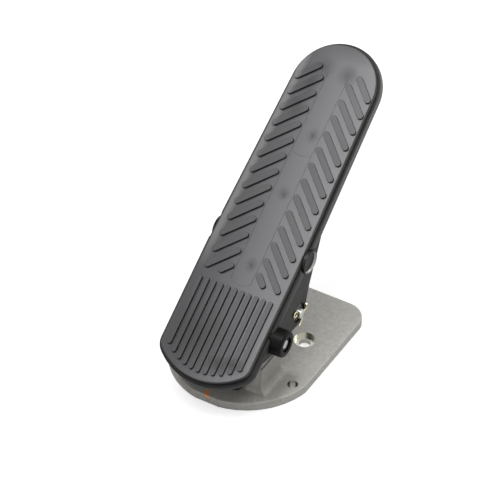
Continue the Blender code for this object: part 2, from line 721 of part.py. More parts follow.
def cotter_x():
    return ROLLER_PIN_END - COTTER_FROM_END


def roller_pin(parent, material):
    y, z = to_pedal(VALVE_AXIS_Y, ROLLER_PIN_Z)
    radius = ROLLER_PIN_RADIUS
    head = -(pin_seat() + TOUCH_GAP)
    cap = head - PIN_HEAD_HEIGHT
    end = ROLLER_PIN_END
    profile = [(0, end), (radius - PIN_CHAMFER, end), (radius, end - PIN_CHAMFER), (radius, head),
               (PIN_HEAD_RADIUS, head), (PIN_HEAD_RADIUS, cap + PIN_CHAMFER),
               (PIN_HEAD_RADIUS - PIN_CHAMFER, cap), (0, cap)]
    pin = turned("roller_pin", profile, (0, y, z), facets=32, parent=parent, along_x=True)
    hole = 2 * COTTER_WIRE + 1.5 * TOUCH_GAP
    reach = Vector((0, math.cos(COTTER_TILT), math.sin(COTTER_TILT))) * 2 * radius
    middle = Vector((cotter_x(), y, z))
    cut(pin, rod("cotter_hole", hole, middle - reach, middle + reach, parent, SMALL_FACETS))
    return make_part(pin, material)


def pin_washer(parent, material):
    y, z = to_pedal(VALVE_AXIS_Y, ROLLER_PIN_Z)
    low = pin_seat() + TOUCH_GAP
    high = low + WASHER_THICKNESS
    inner = ROLLER_PIN_RADIUS + TOUCH_GAP
    profile = [(inner, high), (WASHER_RADIUS, high), (WASHER_RADIUS, low), (inner, low)]
    washer = turned("pin_washer", profile, (0, y, z), closed=True, facets=32, parent=parent, along_x=True)
    return make_part(washer, material)


def cotter_path():
    """The folded wire: one leg, through the pin, round the eye, back through and out along the other leg."""
    lane = COTTER_WIRE + TOUCH_GAP / 2
    clear = ROLLER_PIN_RADIUS + 2 * COTTER_WIRE
    eye_centre = -(clear + COTTER_EYE_RADIUS)
    points = [(clear + lane, lane + COTTER_LEG), (clear + lane, lane + COTTER_WIRE * 2)]
    points += [(clear, lane), (-clear + COTTER_WIRE, lane)]
    points += arc((eye_centre, 0), COTTER_EYE_RADIUS, math.radians(40), math.radians(320), 12)
    points += [(-clear + COTTER_WIRE, -lane), (clear, -lane)]
    points += [(clear + lane, -lane - COTTER_WIRE * 2), (clear + lane / 2, -lane - COTTER_LEG)]
    return points


def cotter_pin(parent, material):
    y, z = to_pedal(VALVE_AXIS_Y, ROLLER_PIN_Z)
    curve = bpy.data.curves.new("cotter_pin", "CURVE")
    curve.dimensions = "3D"
    curve.bevel_depth = COTTER_WIRE
    curve.bevel_resolution = 2
    curve.use_fill_caps = True
    path = cotter_path()
    spline = curve.splines.new("POLY")
    spline.points.add(len(path) - 1)
    for point, (along, across) in zip(spline.points, path):
        point.co = (0, along, across, 1)
    item = bpy.data.objects.new("cotter_curve", curve)
    cutters.objects.link(item)
    bpy.context.view_layer.update()
    mesh = bpy.data.meshes.new_from_object(item.evaluated_get(bpy.context.evaluated_depsgraph_get()))
    bpy.data.objects.remove(item, do_unlink=True)
    shape = bmesh.new()
    shape.from_mesh(mesh)
    bmesh.ops.remove_doubles(shape, verts=shape.verts, dist=WELD)
    bmesh.ops.recalc_face_normals(shape, faces=shape.faces)
    shape.to_mesh(mesh)
    shape.free()
    pin = add_object("cotter_pin", mesh, parent)
    pin.location = (cotter_x(), y, z)
    pin.rotation_euler = (COTTER_TILT, 0, 0)
    return make_part(pin, material)


def roller(parent, material):
    inner = ROLLER_PIN_RADIUS + RUNNING_GAP + ROLLER_BUSHING_WALL + TOUCH_GAP
    outer = ROLLER_RADIUS
    half = ROLLER_HALF_WIDTH
    edge = PLUNGER_CHAMFER
    profile = [(inner, half), (outer - edge, half), (outer, half - edge), (outer, edge - half),
               (outer - edge, -half), (inner, -half)]
    return make_part(turned("roller", profile, (0, 0, 0), closed=True, facets=48, parent=parent,
                            along_x=True), material)


def roller_bushing(parent, material):
    inner = ROLLER_PIN_RADIUS + RUNNING_GAP
    outer = inner + ROLLER_BUSHING_WALL
    half = ROLLER_HALF_WIDTH
    profile = [(inner, half), (outer, half), (outer, -half), (inner, -half)]
    return make_part(turned("roller_bushing", profile, (0, 0, 0), closed=True, facets=32, parent=parent,
                            along_x=True), material)


def empty(name, place, parent=None, tilt=0.0):
    item = bpy.data.objects.new(name, None)
    parts.objects.link(item)
    item.location = place
    item.rotation_euler = (tilt, 0, 0)
    item.parent = parent
    return item


def build():
    global parts, cutters
    clear_scene()
    parts = new_collection("foot_brake_treadle")
    cutters = new_collection("cutters")
    cast_grey = finish("cast_aluminium", (0.36, 0.35, 0.32), 0.55, 0.85)
    black_paint = finish("black_paint", (0.018, 0.018, 0.020), 0.38, 0.0)
    rubber = finish("black_rubber", (0.035, 0.035, 0.036), 0.62, 0.0)
    boot_rubber = finish("boot_rubber", (0.022, 0.022, 0.022), 0.70, 0.0)
    steel = finish("bright_steel", (0.62, 0.62, 0.60), 0.28, 1.0)
    zinc = finish("yellow_zinc", (0.62, 0.50, 0.18), 0.35, 1.0)
    bronze = finish("sintered_bronze", (0.42, 0.30, 0.16), 0.50, 1.0)
    nylon = finish("black_nylon", (0.02, 0.02, 0.02), 0.45, 0.0)

    mounting_plate(cast_grey)
    fulcrum_pin(steel)
    stop_button("stop_button_right", 1, rubber)
    stop_button("stop_button_left", -1, rubber)
    plunger_boot(boot_rubber)
    plunger(steel)

    pedal_axis = empty("pedal_axis", (0, FULCRUM_Y, FULCRUM_Z), tilt=PAD_ANGLE)
    treadle(pedal_axis, black_paint)
    treadle_cover(pedal_axis, rubber)
    bushing("fulcrum_bushing_right", 1, pedal_axis, nylon)
    bushing("fulcrum_bushing_left", -1, pedal_axis, nylon)
    roller_pin(pedal_axis, steel)
    pin_washer(pedal_axis, steel)
    cotter_pin(pedal_axis, zinc)

    roller_y, roller_z = to_pedal(VALVE_AXIS_Y, ROLLER_PIN_Z)
    roller_axis = empty("roller_axis", (0, roller_y, roller_z), pedal_axis)
    roller(roller_axis, steel)
    roller_bushing(roller_axis, bronze)
    bpy.context.view_layer.update()


build()
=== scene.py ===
# %% [markdown]
# # A truck's foot brake treadle
#
# This lesson dresses a plain engineering model of a truck's foot brake treadle until it looks like the
# real one: a long black casting under a ribbed rubber pad, hinged over a grey mounting plate.
# The engineering model is loaded first, as a frame that is never moved. Each visible piece is then
# modelled with Blender's own tools around that frame, and rides on the body that it belongs to.

# %% Load the frame
import bpy
import bmesh
import math
from mathutils import Matrix, Vector


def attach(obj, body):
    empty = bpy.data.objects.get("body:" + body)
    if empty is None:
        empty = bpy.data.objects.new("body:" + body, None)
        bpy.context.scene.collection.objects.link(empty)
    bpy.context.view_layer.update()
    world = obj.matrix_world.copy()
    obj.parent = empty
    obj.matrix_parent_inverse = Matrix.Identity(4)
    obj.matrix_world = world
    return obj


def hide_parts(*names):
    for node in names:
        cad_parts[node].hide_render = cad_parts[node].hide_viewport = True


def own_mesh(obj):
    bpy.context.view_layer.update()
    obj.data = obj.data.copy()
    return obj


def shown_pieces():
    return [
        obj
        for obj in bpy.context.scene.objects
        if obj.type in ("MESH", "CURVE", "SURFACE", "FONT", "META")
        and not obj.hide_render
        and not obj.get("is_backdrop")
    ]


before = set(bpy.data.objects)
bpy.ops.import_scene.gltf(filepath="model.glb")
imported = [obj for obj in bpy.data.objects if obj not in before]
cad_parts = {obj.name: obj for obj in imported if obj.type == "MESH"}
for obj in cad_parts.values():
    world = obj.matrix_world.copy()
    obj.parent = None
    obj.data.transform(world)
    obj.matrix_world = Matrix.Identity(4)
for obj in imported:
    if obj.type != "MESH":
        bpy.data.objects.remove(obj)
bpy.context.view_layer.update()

MM = 0.001

# %% [markdown]
# ## The pedal's own axes
#
# The pedal is drawn lying flat, with its fulcrum at the origin, y from heel to toe and z square to the
# pad. That keeps every size a plain number from the real part. The last step of each pedal piece turns
# it up by the pad's angle and moves it to the fulcrum, as a fitter would hang it on its pin.

# %% Sizes shared by the pedal's pieces
PAD_ANGLE = math.radians(34.1)
FULCRUM_Y = -25.9
FULCRUM_Z = 55.6
FULCRUM = Vector((0, FULCRUM_Y, FULCRUM_Z)) * MM
FULCRUM_FROM_HEEL = 51.9
FULCRUM_BELOW_PAD = 15.0
PAD_LENGTH = 280.5
PAD_HALF_WIDTH = 38.3
TOE_RADIUS = 34.2
TOE_SHIFT = 0.5
TAPER_START = 102.7
HEEL_RADIUS = 51.8
HEEL_CORNER = 11.0
COVER_THICKNESS = 4.5
DECK_TOP = 4.8
DECK_THICKNESS = 3.2
RIM_LIP = 2.7
RIM_BOTTOM = 10.0
WEB_OUTER = 38.5
WEB_THICKNESS = 5.3
PLUNGER_Y = 12.5
ROLLER_AXIS = Vector((0, PLUNGER_Y, 52.6)) * MM


def along(distance):
    """Millimetres from the heel, as a y of the flat pedal."""
    return distance - FULCRUM_FROM_HEEL


def below(depth):
    """Millimetres under the pad's top face, as a z of the flat pedal."""
    return FULCRUM_BELOW_PAD - depth


def to_pedal(place):
    """A place in the frame, as (y, z) millimetres of the flat pedal."""
    turned = Matrix.Rotation(-PAD_ANGLE, 3, "X") @ (place - FULCRUM)
    return turned.y / MM, turned.z / MM


ROLLER_Y, ROLLER_Z = to_pedal(ROLLER_AXIS)
print("roller pin in the pedal's axes:", round(ROLLER_Y, 2), round(ROLLER_Z, 2))

# %% [markdown]
# ## A few hand tools
#
# Every operator works on what is selected, so each tool below first deselects everything and then picks
# its own object. Faces and edges are picked in code, by where they lie.

# %% Picking and finishing
def pick(*objects):
    """Selects these objects alone and makes the first one active."""
    bpy.ops.object.select_all(action="DESELECT")
    for item in objects:
        item.select_set(True)
    bpy.context.view_layer.objects.active = objects[0]
    return objects[0]


def named(name):
    """Names the active object and its mesh."""
    item = bpy.context.view_layer.objects.active
    item.name = name
    item.data.name = name
    return item


def apply_modifier(item, kind, **settings):
    """Adds a modifier, sets it and applies it at once."""
    pick(item)
    step = item.modifiers.new(kind, kind)
    for key, value in settings.items():
        setattr(step, key, value)
    bpy.ops.object.modifier_apply(modifier=step.name)
    return item


def settle(item):
    """Puts the object's place into its mesh, so that the object sits at the origin."""
    pick(item)
    bpy.ops.object.transform_apply(location=True, rotation=True, scale=True)
    return item


def count(item):
    """Triangles in a mesh."""
    item.data.calc_loop_triangles()
    return len(item.data.loop_triangles)


def holes(item):
    """Edges that don't have exactly two faces. A closed solid has none."""
    mesh = bmesh.new()
    mesh.from_mesh(item.data)
    total = sum(1 for edge in mesh.edges if len(edge.link_faces) != 2)
    mesh.free()
    return total


# %% Choosing parts of a mesh
def choose(item, kind, test):
    """In edit mode, selects the vertices, edges or faces for which test is true."""
    mesh = bmesh.from_edit_mesh(item.data)
    bpy.context.tool_settings.mesh_select_mode = (kind == "VERT", kind == "EDGE", kind == "FACE")
    for element in [*mesh.verts, *mesh.edges, *mesh.faces]:
        element.select_set(False)
    group = {"VERT": mesh.verts, "EDGE": mesh.edges, "FACE": mesh.faces}[kind]
    chosen = [element for element in group if test(element)]
    for element in chosen:
        element.select_set(True)
    mesh.select_flush_mode()
    bmesh.update_edit_mesh(item.data)
    return len(chosen)


def edit(item):
    """Opens one object in edit mode."""
    pick(item)
    bpy.ops.object.mode_set(mode="EDIT")


def leave():
    """Goes back to object mode."""
    bpy.ops.object.mode_set(mode="OBJECT")


SAME_PLACE = 0.000001


def tidy_normals(item):
    """Merges doubles and turns every face outwards."""
    edit(item)
    bpy.ops.mesh.select_all(action="SELECT")
    bpy.ops.mesh.remove_doubles(threshold=SAME_PLACE)
    bpy.ops.mesh.normals_make_consistent(inside=False)
    leave()
    return item


def smooth(item, degrees=35):
    """Shades smooth, but keeps edges that turn by more than some degrees."""
    pick(item)
    bpy.ops.object.shade_smooth_by_angle(angle=math.radians(degrees))
    return item


def rim_edges(axis, value, sharp=30, tolerance=0.01):
    """A test for the sharp edges that lie in one plane, in millimetres along x, y or z."""
    def test(edge):
        flat = all(abs(vert.co[axis] / MM - value) < tolerance for vert in edge.verts)
        return flat and edge.calc_face_angle(0) > math.radians(sharp)
    return test


def bevel(item, test, width, segments=3):
    """Rounds the edges that test picks, by a width in millimetres."""
    edit(item)
    found = choose(item, "EDGE", test)
    bpy.ops.mesh.bevel(offset=width * MM, segments=segments, profile=0.5, affect="EDGES")
    leave()
    return found


# %% Boolean joins and cuts
def merge(item, *others, crossing=False):
    """Unites solids into the first one. crossing is for a solid whose own shells cross each other."""
    for other in others:
        apply_modifier(item, "BOOLEAN", operation="UNION", object=other, solver="EXACT", use_self=crossing)
        bpy.data.objects.remove(other, do_unlink=True)
    return item


def carve(item, *tools):
    """Cuts solids out of the first one."""
    for tool in tools:
        apply_modifier(item, "BOOLEAN", operation="DIFFERENCE", object=tool, solver="EXACT")
        bpy.data.objects.remove(tool, do_unlink=True)
    return item


# %% Coins, bars and drawn outlines
def coin(name, radius, x, y, low, high, vertices=64):
    """A round disc, its axis along z, in millimetres."""
    bpy.ops.mesh.primitive_cylinder_add(vertices=vertices, radius=radius * MM, depth=(high - low) * MM,
                                        location=(x * MM, y * MM, (low + high) / 2 * MM))
    return settle(named(name))


def axle(name, radius, low, high, y, z, vertices=64):
    """A round bar with its axis along x, in millimetres."""
    bpy.ops.mesh.primitive_cylinder_add(vertices=vertices, radius=radius * MM, depth=(high - low) * MM,
                                        location=((low + high) / 2 * MM, y * MM, z * MM),
                                        rotation=(0, math.radians(90), 0))
    return settle(named(name))


def slab(name, low, high):
    """A block between two corners in millimetres."""
    low = Vector(low)
    high = Vector(high)
    bpy.ops.mesh.primitive_cube_add(size=MM, location=(low + high) / 2 * MM)
    item = named(name)
    item.scale = high - low
    return settle(item)


def trace(name, spots):
    """A run of edges through some places, left selected in edit mode. It starts as one corner of a plane,
    and each further corner is extruded from the last one."""
    bpy.ops.mesh.primitive_plane_add(size=MM, location=(0, 0, 0))
    item = named(name)
    edit(item)
    choose(item, "VERT", lambda vert: vert.index > 0)
    bpy.ops.mesh.delete(type="VERT")
    choose(item, "VERT", lambda vert: True)
    start = bmesh.from_edit_mesh(item.data).verts[:][0].co.copy()
    bpy.ops.transform.translate(value=spots[0] - start)
    for before, after in zip(spots, spots[1:]):
        bpy.ops.mesh.extrude_region_move(TRANSFORM_OT_translate={"value": after - before})
    bpy.ops.mesh.select_all(action="SELECT")
    return item


def drawn(name, points, low, high, axis="x"):
    """An outline in millimetres, filled and extruded: along x (outline in y, z) or y (outline in x, z)."""
    place = {"x": lambda a, b: (low, a, b), "y": lambda a, b: (a, low, b)}[axis]
    depth = {"x": (high - low, 0, 0), "y": (0, high - low, 0)}[axis]
    item = trace(name, [Vector(place(*point)) * MM for point in points])
    bpy.ops.mesh.edge_face_add()
    bpy.ops.mesh.select_all(action="SELECT")
    bpy.ops.mesh.extrude_region_move(TRANSFORM_OT_translate={"value": Vector(depth) * MM})
    leave()
    return tidy_normals(item)


print("tools ready")

# %% [markdown]
# ## The outline of the pad
#
# The pad and the casting under it share one outline: a wide, nearly flat heel arc with rounded corners,
# straight sides, and a round toe. It is made like a string pulled tight round five coins. The coins are
# cylinders, and the string is the Convex Hull operator. Growing every coin by the same amount gives the
# casting's lip, so both pieces always agree.

# %% A string round five coins
HEEL_FACETS = 360
CORNER_FACETS = 72
TOE_FACETS = 160
NEARLY_FLAT = math.radians(0.2)


def heel_corner_place():
    """The centre (x, y) of the right heel corner's coin."""
    side = PAD_HALF_WIDTH - HEEL_CORNER
    drop = math.sqrt((HEEL_RADIUS - HEEL_CORNER) ** 2 - side ** 2)
    return side, along(HEEL_RADIUS) - drop


def pad_slab(name, grow, top, bottom):
    """A slab with the pad's outline grown by some millimetres, between two depths below the pad's face."""
    low = below(bottom)
    high = below(top)
    corner_x, corner_y = heel_corner_place()
    meet = corner_x * (HEEL_RADIUS + grow) / (HEEL_RADIUS - HEEL_CORNER)
    heel = coin("heel_coin", HEEL_RADIUS + grow, 0, along(HEEL_RADIUS), low, high, HEEL_FACETS)
    edit(heel)
    for side in (1, -1):
        bpy.ops.mesh.select_all(action="SELECT")
        bpy.ops.mesh.bisect(plane_co=(side * meet * MM, 0, 0), plane_no=(side, 0, 0), use_fill=True,
                            clear_outer=True)
    bpy.ops.mesh.select_all(action="SELECT")
    bpy.ops.mesh.bisect(plane_co=(0, corner_y * MM, 0), plane_no=(0, 1, 0), use_fill=True, clear_outer=True)
    leave()
    coins = [heel]
    for side in (1, -1):
        for y in (corner_y, along(TAPER_START)):
            coins.append(coin("side_coin", HEEL_CORNER + grow, side * corner_x, y, low, high, CORNER_FACETS))
    toe_centre = along(PAD_LENGTH - TOE_RADIUS)
    coins.append(coin("toe_coin", TOE_RADIUS + grow, TOE_SHIFT, toe_centre, low, high, TOE_FACETS))
    pick(*coins)
    bpy.ops.object.join()
    item = named(name)
    edit(item)
    bpy.ops.mesh.select_all(action="SELECT")
    bpy.ops.mesh.convex_hull()
    bpy.ops.mesh.select_all(action="SELECT")
    bpy.ops.mesh.dissolve_limited(angle_limit=NEARLY_FLAT)
    leave()
    return tidy_normals(item)


def hang(item):
    """Turns a flat pedal piece up to its angle at rest and moves it to the fulcrum."""
    item.rotation_euler = (PAD_ANGLE, 0, 0)
    item.location = FULCRUM
    return settle(item)


# %% [markdown]
# ## The rubber pad
#
# The pad is one moulding. Its shoulder is rounded where a shoe would catch it. The tread on it stands
# two millimetres proud: slanted bars that point to the toe, and straight ribs at the heel. A bar is a
# round-ended block with a soft top edge. One is modelled, then copied to each place.

# %% The pad's body
PAD_SHOULDER = 0.9
PAD_UNDER_EDGE = 1.0
pad = pad_slab("pedal_pad", 0, 0, COVER_THICKNESS)
bevel(pad, rim_edges(2, below(0)), PAD_SHOULDER, 4)
bevel(pad, rim_edges(2, below(COVER_THICKNESS)), PAD_UNDER_EDGE, 3)
print("pad:", [round(side / MM, 1) for side in pad.dimensions], count(pad), "triangles")

# %% One tread bar
BAR_HEIGHT = 2.0
BAR_ROOT = 0.6
BAR_SOFT = 0.35
BAR_FACETS = 24


def tread_bar(name, first, second, width, height=BAR_HEIGHT, soft=BAR_SOFT):
    """A round-ended bar between two centres (x, y), standing on the pad's face."""
    run = Vector(second) - Vector(first)
    bpy.ops.mesh.primitive_cylinder_add(vertices=BAR_FACETS, radius=width / 2 * MM,
                                        depth=(height + BAR_ROOT) * MM, rotation=(0, 0, math.pi / BAR_FACETS))
    item = settle(named(name))
    edit(item)
    choose(item, "VERT", lambda vert: vert.co.x > 0)
    bpy.ops.transform.translate(value=(run.length * MM, 0, 0))
    choose(item, "EDGE", rim_edges(2, (height + BAR_ROOT) / 2))
    bpy.ops.mesh.bevel(offset=soft * MM, segments=3, profile=0.5, affect="EDGES")
    leave()
    item.rotation_euler = (0, 0, math.atan2(run.y, run.x))
    item.location = Vector((first[0], first[1], below(0) + (height - BAR_ROOT) / 2)) * MM
    return settle(item)


def copy_to(item, name, shift):
    """A copy with its own mesh, moved by millimetres."""
    pick(item)
    bpy.ops.object.duplicate()
    twin = named(name)
    twin.location = Vector(shift) * MM
    return settle(twin)


# %% [markdown]
# In the photo the two rows of bars aren't mirror images: the right row sits about two millimetres
# further out. So each row has its own reach. A short bar closes each row at the toe and at the heel.

# %% Chevrons
BAR_WIDTH = 5.0
BAR_PITCH = 13.4
BAR_COUNT = 12
BAR_TOP = 231.7
BAR_RISE = 18.0
TOP_RUN = 13.2
END_RUN = 5.6
RIGHT_REACH = (31.8, 13.2)
LEFT_REACH = (29.4, 11.4)


def bar_row(side, outer, inner):
    """One row of bars, from the toe to the ribs, between two distances from the middle."""
    def bar(start, start_y, end, end_y):
        return tread_bar("tread", (side * start, start_y), (side * end, end_y), BAR_WIDTH)
    longest = bar(outer, along(BAR_TOP), inner, along(BAR_TOP + BAR_RISE))
    row = [longest] + [copy_to(longest, "tread", (0, -BAR_PITCH * i, 0)) for i in range(1, BAR_COUNT)]
    toe = along(BAR_TOP + BAR_PITCH)
    heel = along(BAR_TOP - BAR_PITCH * (BAR_COUNT - 1))
    row.append(bar(outer, toe, outer - TOP_RUN, toe + TOP_RUN))
    row.append(bar(inner + END_RUN, heel, inner, heel + END_RUN))
    return row


tread = bar_row(1, *RIGHT_REACH) + bar_row(-1, *LEFT_REACH)
print("chevron bars:", len(tread))

# %% Heel ribs
RIB_COUNT = 11
RIB_PITCH = 6.12
RIB_WIDTH = 3.8
RIB_TOP = 73.1
RIB_MARGIN = 5.3
RIB_SHIFT = 0.4
for i in range(RIB_COUNT):
    x = (i - (RIB_COUNT - 1) / 2) * RIB_PITCH
    reach = math.sqrt((HEEL_RADIUS - RIB_MARGIN - RIB_WIDTH / 2) ** 2 - x ** 2)
    x += RIB_SHIFT
    tread.append(tread_bar("tread", (x, along(HEEL_RADIUS - reach)), (x, along(RIB_TOP)), RIB_WIDTH))
print("bars and ribs:", len(tread))

# %% [markdown]
# The mould's inserts left fine raised lines along both sides of the plain centre band, and one curved
# line across it. They are bars too, only a fraction of a millimetre wide and high.

# %% Mould lines
LINE_WIDTH = 0.7
LINE_HEIGHT = 0.22
LINE_SOFT = 0.12
CROSS_SHARE = 0.7
CROSS_SOFT = 0.1
CROSS_LINE = 190.0
SAG = 2.6
BAND_HALF = 8.5
BAND_MIDDLE = 0.65
BAND_LOW = 81.0
BAND_HIGH = 256.0


def sagging_line(height):
    """A fine line across the band, lower in its middle."""
    route = []
    for i in range(7):
        swing = i / 3 - 1
        route.append((BAND_MIDDLE + BAND_HALF * swing, along(height - SAG * (1 - swing ** 2))))
    return [tread_bar("tread", first, second, LINE_WIDTH, LINE_HEIGHT * CROSS_SHARE, CROSS_SOFT)
            for first, second in zip(route, route[1:])]


for side in (1, -1):
    edge = BAND_MIDDLE + side * BAND_HALF
    tread.append(tread_bar("tread", (edge, along(BAND_LOW)), (edge, along(BAND_HIGH)), LINE_WIDTH,
                           LINE_HEIGHT, LINE_SOFT))
tread += sagging_line(CROSS_LINE) + sagging_line(BAND_LOW)
pick(*tread)
bpy.ops.object.join()
tread = named("tread")
merge(pad, tread, crossing=True)
print("pad with tread:", count(pad), "triangles,", holes(pad), "open edges")

# %% [markdown]
# Three rubber studs under the pad are pulled through holes in the casting to hold it on. Above each one
# the face is drawn down into a shallow dimple, cut here with a large ball.

# %% Dimples and studs
STUD_PLACES = (94.9, 153.7, 204.5)
DIMPLE_BALL = 24.0
DIMPLE_DEPTH = 0.14
DIMPLE_X = 1.8
STUD_RADIUS = 3.6
STUD_HEAD = 5.8
STUD_HEAD_HEIGHT = 2.2
STUD_SOFT = 0.9
STUD_FACETS = 32
STUD_SEAT = DECK_TOP + DECK_THICKNESS - 0.1
STUD_END = STUD_SEAT + STUD_HEAD_HEIGHT
for place in STUD_PLACES:
    y = along(place)
    centre = Vector((DIMPLE_X, y, below(0) + DIMPLE_BALL - DIMPLE_DEPTH)) * MM
    bpy.ops.mesh.primitive_uv_sphere_add(segments=96, ring_count=64, radius=DIMPLE_BALL * MM, location=centre)
    carve(pad, settle(named("ball")))
    stem = coin("stem", STUD_RADIUS, 0, y, below(STUD_SEAT + 1), below(COVER_THICKNESS - 1), STUD_FACETS)
    head = coin("head", STUD_HEAD, 0, y, below(STUD_END), below(STUD_SEAT), STUD_FACETS)
    bevel(head, rim_edges(2, below(STUD_END)), STUD_SOFT, 3)
    merge(pad, merge(stem, head))
tidy_normals(pad)
hang(pad)
smooth(pad, 40)
apply_modifier(pad, "WEIGHTED_NORMAL", mode="FACE_AREA", weight=50, keep_sharp=True)
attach(pad, "pedal")
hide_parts("treadle_cover")
print("finished pad:", count(pad), "triangles,", holes(pad), "open edges")

# %% [markdown]
# ## The pedal casting
#
# The casting has a shallow tray with a rounded lip all round. It shows as the thin dark line and the
# grey band along the pad's edge, so it is modelled crisply: the same outline, grown, then its underside
# inset and pushed up to leave the tray.

# %% Deck and rim
RIM_WALL = 3.5
RIM_ROUND = 1.2
RIM_UNDER_EDGE = 0.3
deck = pad_slab("pedal_casting", RIM_LIP, DECK_TOP, RIM_BOTTOM)
edit(deck)
choose(deck, "FACE", lambda face: face.normal.z < -0.9)
bpy.ops.mesh.inset(thickness=RIM_WALL * MM, depth=0)
bpy.ops.mesh.extrude_region_move(TRANSFORM_OT_translate={
    "value": (0, 0, (RIM_BOTTOM - DECK_TOP - DECK_THICKNESS) * MM)})
leave()
bevel(deck, rim_edges(2, below(DECK_TOP)), RIM_ROUND, 5)
bevel(deck, rim_edges(2, below(RIM_BOTTOM)), RIM_UNDER_EDGE, 2)
print("deck:", [round(side / MM, 1) for side in deck.dimensions], count(deck), "triangles")

# %% [markdown]
# Below the deck hang two deep webs that carry the fulcrum and the roller pin. On the real part these
# run into each other with soft fillets, because the sand mould is soft. The trick used here is the
# same as wet clay: the plain solids are united, the Remesh modifier turns them into one even skin, and
# a few smoothing passes round every inner and outer corner a little.

# %% Stop legs
STOP_X = 14.5
STOP_Y = -40.0
STOP_TOP = 19.6
LEG_GAP = 0.6
LEG_HALF_WIDTH = 4.5
LEG_HALF_DEPTH = 5.5
OVERLAP = 1.0
BURIED = DECK_TOP + DECK_THICKNESS - OVERLAP


def stop_leg(side):
    """The leg that rests on a stop button: its foot is level when the pedal is at rest."""
    foot = [to_pedal(Vector((0, STOP_Y + shift, STOP_TOP + LEG_GAP)) * MM)
            for shift in (-LEG_HALF_DEPTH, LEG_HALF_DEPTH)]
    top = below(BURIED)
    outline = foot + [(foot[1][0] + LEG_HALF_DEPTH, top), (foot[0][0] - LEG_HALF_DEPTH, top)]
    middle = side * STOP_X
    return drawn("stop_leg", outline, middle - LEG_HALF_WIDTH, middle + LEG_HALF_WIDTH)


# %% Webs, bosses and ribs
WEB_EDGE = ((18, 9.0), (30, 15.0), (42, 27.0), (60, 38.0), (70, 44.5), (75, 48.0), (79, 49.5), (84, 49.2),
            (89, 46.5), (94, 42.0), (104, 34.5), (117, 27.0), (129, 20.5), (139, 14.5), (146, 11.0),
            (152, 9.0))
SKIN = 0.4
BOSS_RADIUS = 10.6
BOSS_ENDS = {1: 50.6, -1: 39.6}
BOSS_START = 30.6
BOSS_SOFT = 1.6
ROLLER_BOSS_RADIUS = 8.5
ROLLER_BOSS_START = 13.6
INTO_WEB = 2.0
RIB_PLATE = 4.5
TOE_RIB_START = 25.4
TOE_RIB_DEPTH = 1.6


def pedal_webs():
    """The webs, bosses, ribs and stop legs as one plain solid, the webs' edge given as (along, below)."""
    outline = [(along(v), below(depth)) for v, depth in WEB_EDGE]
    outline += [(outline[-1][0], below(BURIED)), (outline[0][0], below(BURIED))]
    inner = WEB_OUTER - WEB_THICKNESS
    body = pad_slab("pedal_webs", RIM_LIP - RIM_WALL + OVERLAP, BURIED, DECK_TOP + DECK_THICKNESS + SKIN)
    for side in (1, -1):
        low, high = sorted((side * inner, side * WEB_OUTER))
        body = merge(body, drawn("web", outline, low, high))
        end = side * BOSS_ENDS[side]
        low, high = sorted((side * BOSS_START, end))
        boss = axle("boss", BOSS_RADIUS, low, high, 0, 0, 96)
        bevel(boss, rim_edges(0, end), BOSS_SOFT, 4)
        body = merge(body, boss)
        low, high = sorted((side * ROLLER_BOSS_START, side * (inner + INTO_WEB)))
        body = merge(body, axle("roller_boss", ROLLER_BOSS_RADIUS, low, high, ROLLER_Y, ROLLER_Z, 64),
                     slab("cross_rib", (low, ROLLER_Y - RIB_PLATE / 2, ROLLER_Z),
                          (high, ROLLER_Y + RIB_PLATE / 2, below(BURIED))))
        body = merge(body, stop_leg(side))
    rib_low = below(DECK_TOP + DECK_THICKNESS + TOE_RIB_DEPTH)
    toe_rib = slab("toe_rib", (-RIB_PLATE / 2, ROLLER_Y + TOE_RIB_START, rib_low),
                   (RIB_PLATE / 2, along(PAD_LENGTH + RIM_LIP - RIM_WALL / 2), below(BURIED)))
    return merge(body, toe_rib)


webs = pedal_webs()
print("plain webs:", count(webs), "triangles,", holes(webs), "open edges")

# %% The clay trick
VOXEL = 0.75
apply_modifier(webs, "REMESH", mode="VOXEL", voxel_size=VOXEL * MM, adaptivity=0)
apply_modifier(webs, "SMOOTH", factor=0.5, iterations=5)
apply_modifier(webs, "DECIMATE", ratio=0.35)
print("soft webs:", count(webs), "triangles")

# %% [markdown]
# A foundry casts the rough shape, and then the machine shop cuts the bores. The order is the same here:
# the holes come after the softening, so that their edges stay crisp. High on each web stands a round
# boss with a dished end. The rim is notched round it, which leaves a dark crescent on its upper side.
# The left boss is lower, because in the photo it hardly shows past the pad.

# %% Side cups
CUP_PLACE = (along(115.9), below(10.5))
CUP_RADIUS = 9.6
CUP_ENDS = {1: 41.3, -1: 39.7}
DISH_RADIUS = 8.2
DISH_DEPTH = 1.8
DISH_SLOPE = 0.45
NOTCH_RADIUS = 11.4
CUP_SOFT = 0.25
DISH_SOFT = 0.4
COVER_GAP = 0.4
PAST_ALL = 60


def side_cup(side):
    """A round boss with a dished end, cut away where the pad lies over it."""
    end = CUP_ENDS[side]
    floor_level = max(end - DISH_DEPTH, WEB_OUTER + 0.3)
    low, high = sorted((side * (WEB_OUTER - 2.5), side * end))
    cup = axle("side_cup", CUP_RADIUS, low, high, *CUP_PLACE, 96)
    bevel(cup, rim_edges(0, side * end), CUP_SOFT, 2)
    reach = 2 * DISH_DEPTH
    bpy.ops.mesh.primitive_cone_add(vertices=96, radius1=DISH_RADIUS * MM, depth=reach * MM,
                                    radius2=(DISH_RADIUS + DISH_SLOPE * reach) * MM,
                                    location=Vector((side * (floor_level + DISH_DEPTH), *CUP_PLACE)) * MM,
                                    rotation=(0, side * math.radians(90), 0))
    dish = settle(named("dish"))
    bevel(dish, rim_edges(0, side * floor_level), DISH_SOFT, 2)
    low, high = sorted((side * (PAD_HALF_WIDTH + COVER_GAP), side * 20))
    return carve(cup, dish, slab("room", (low, along(95), below(DECK_TOP)), (high, along(137), 40)))


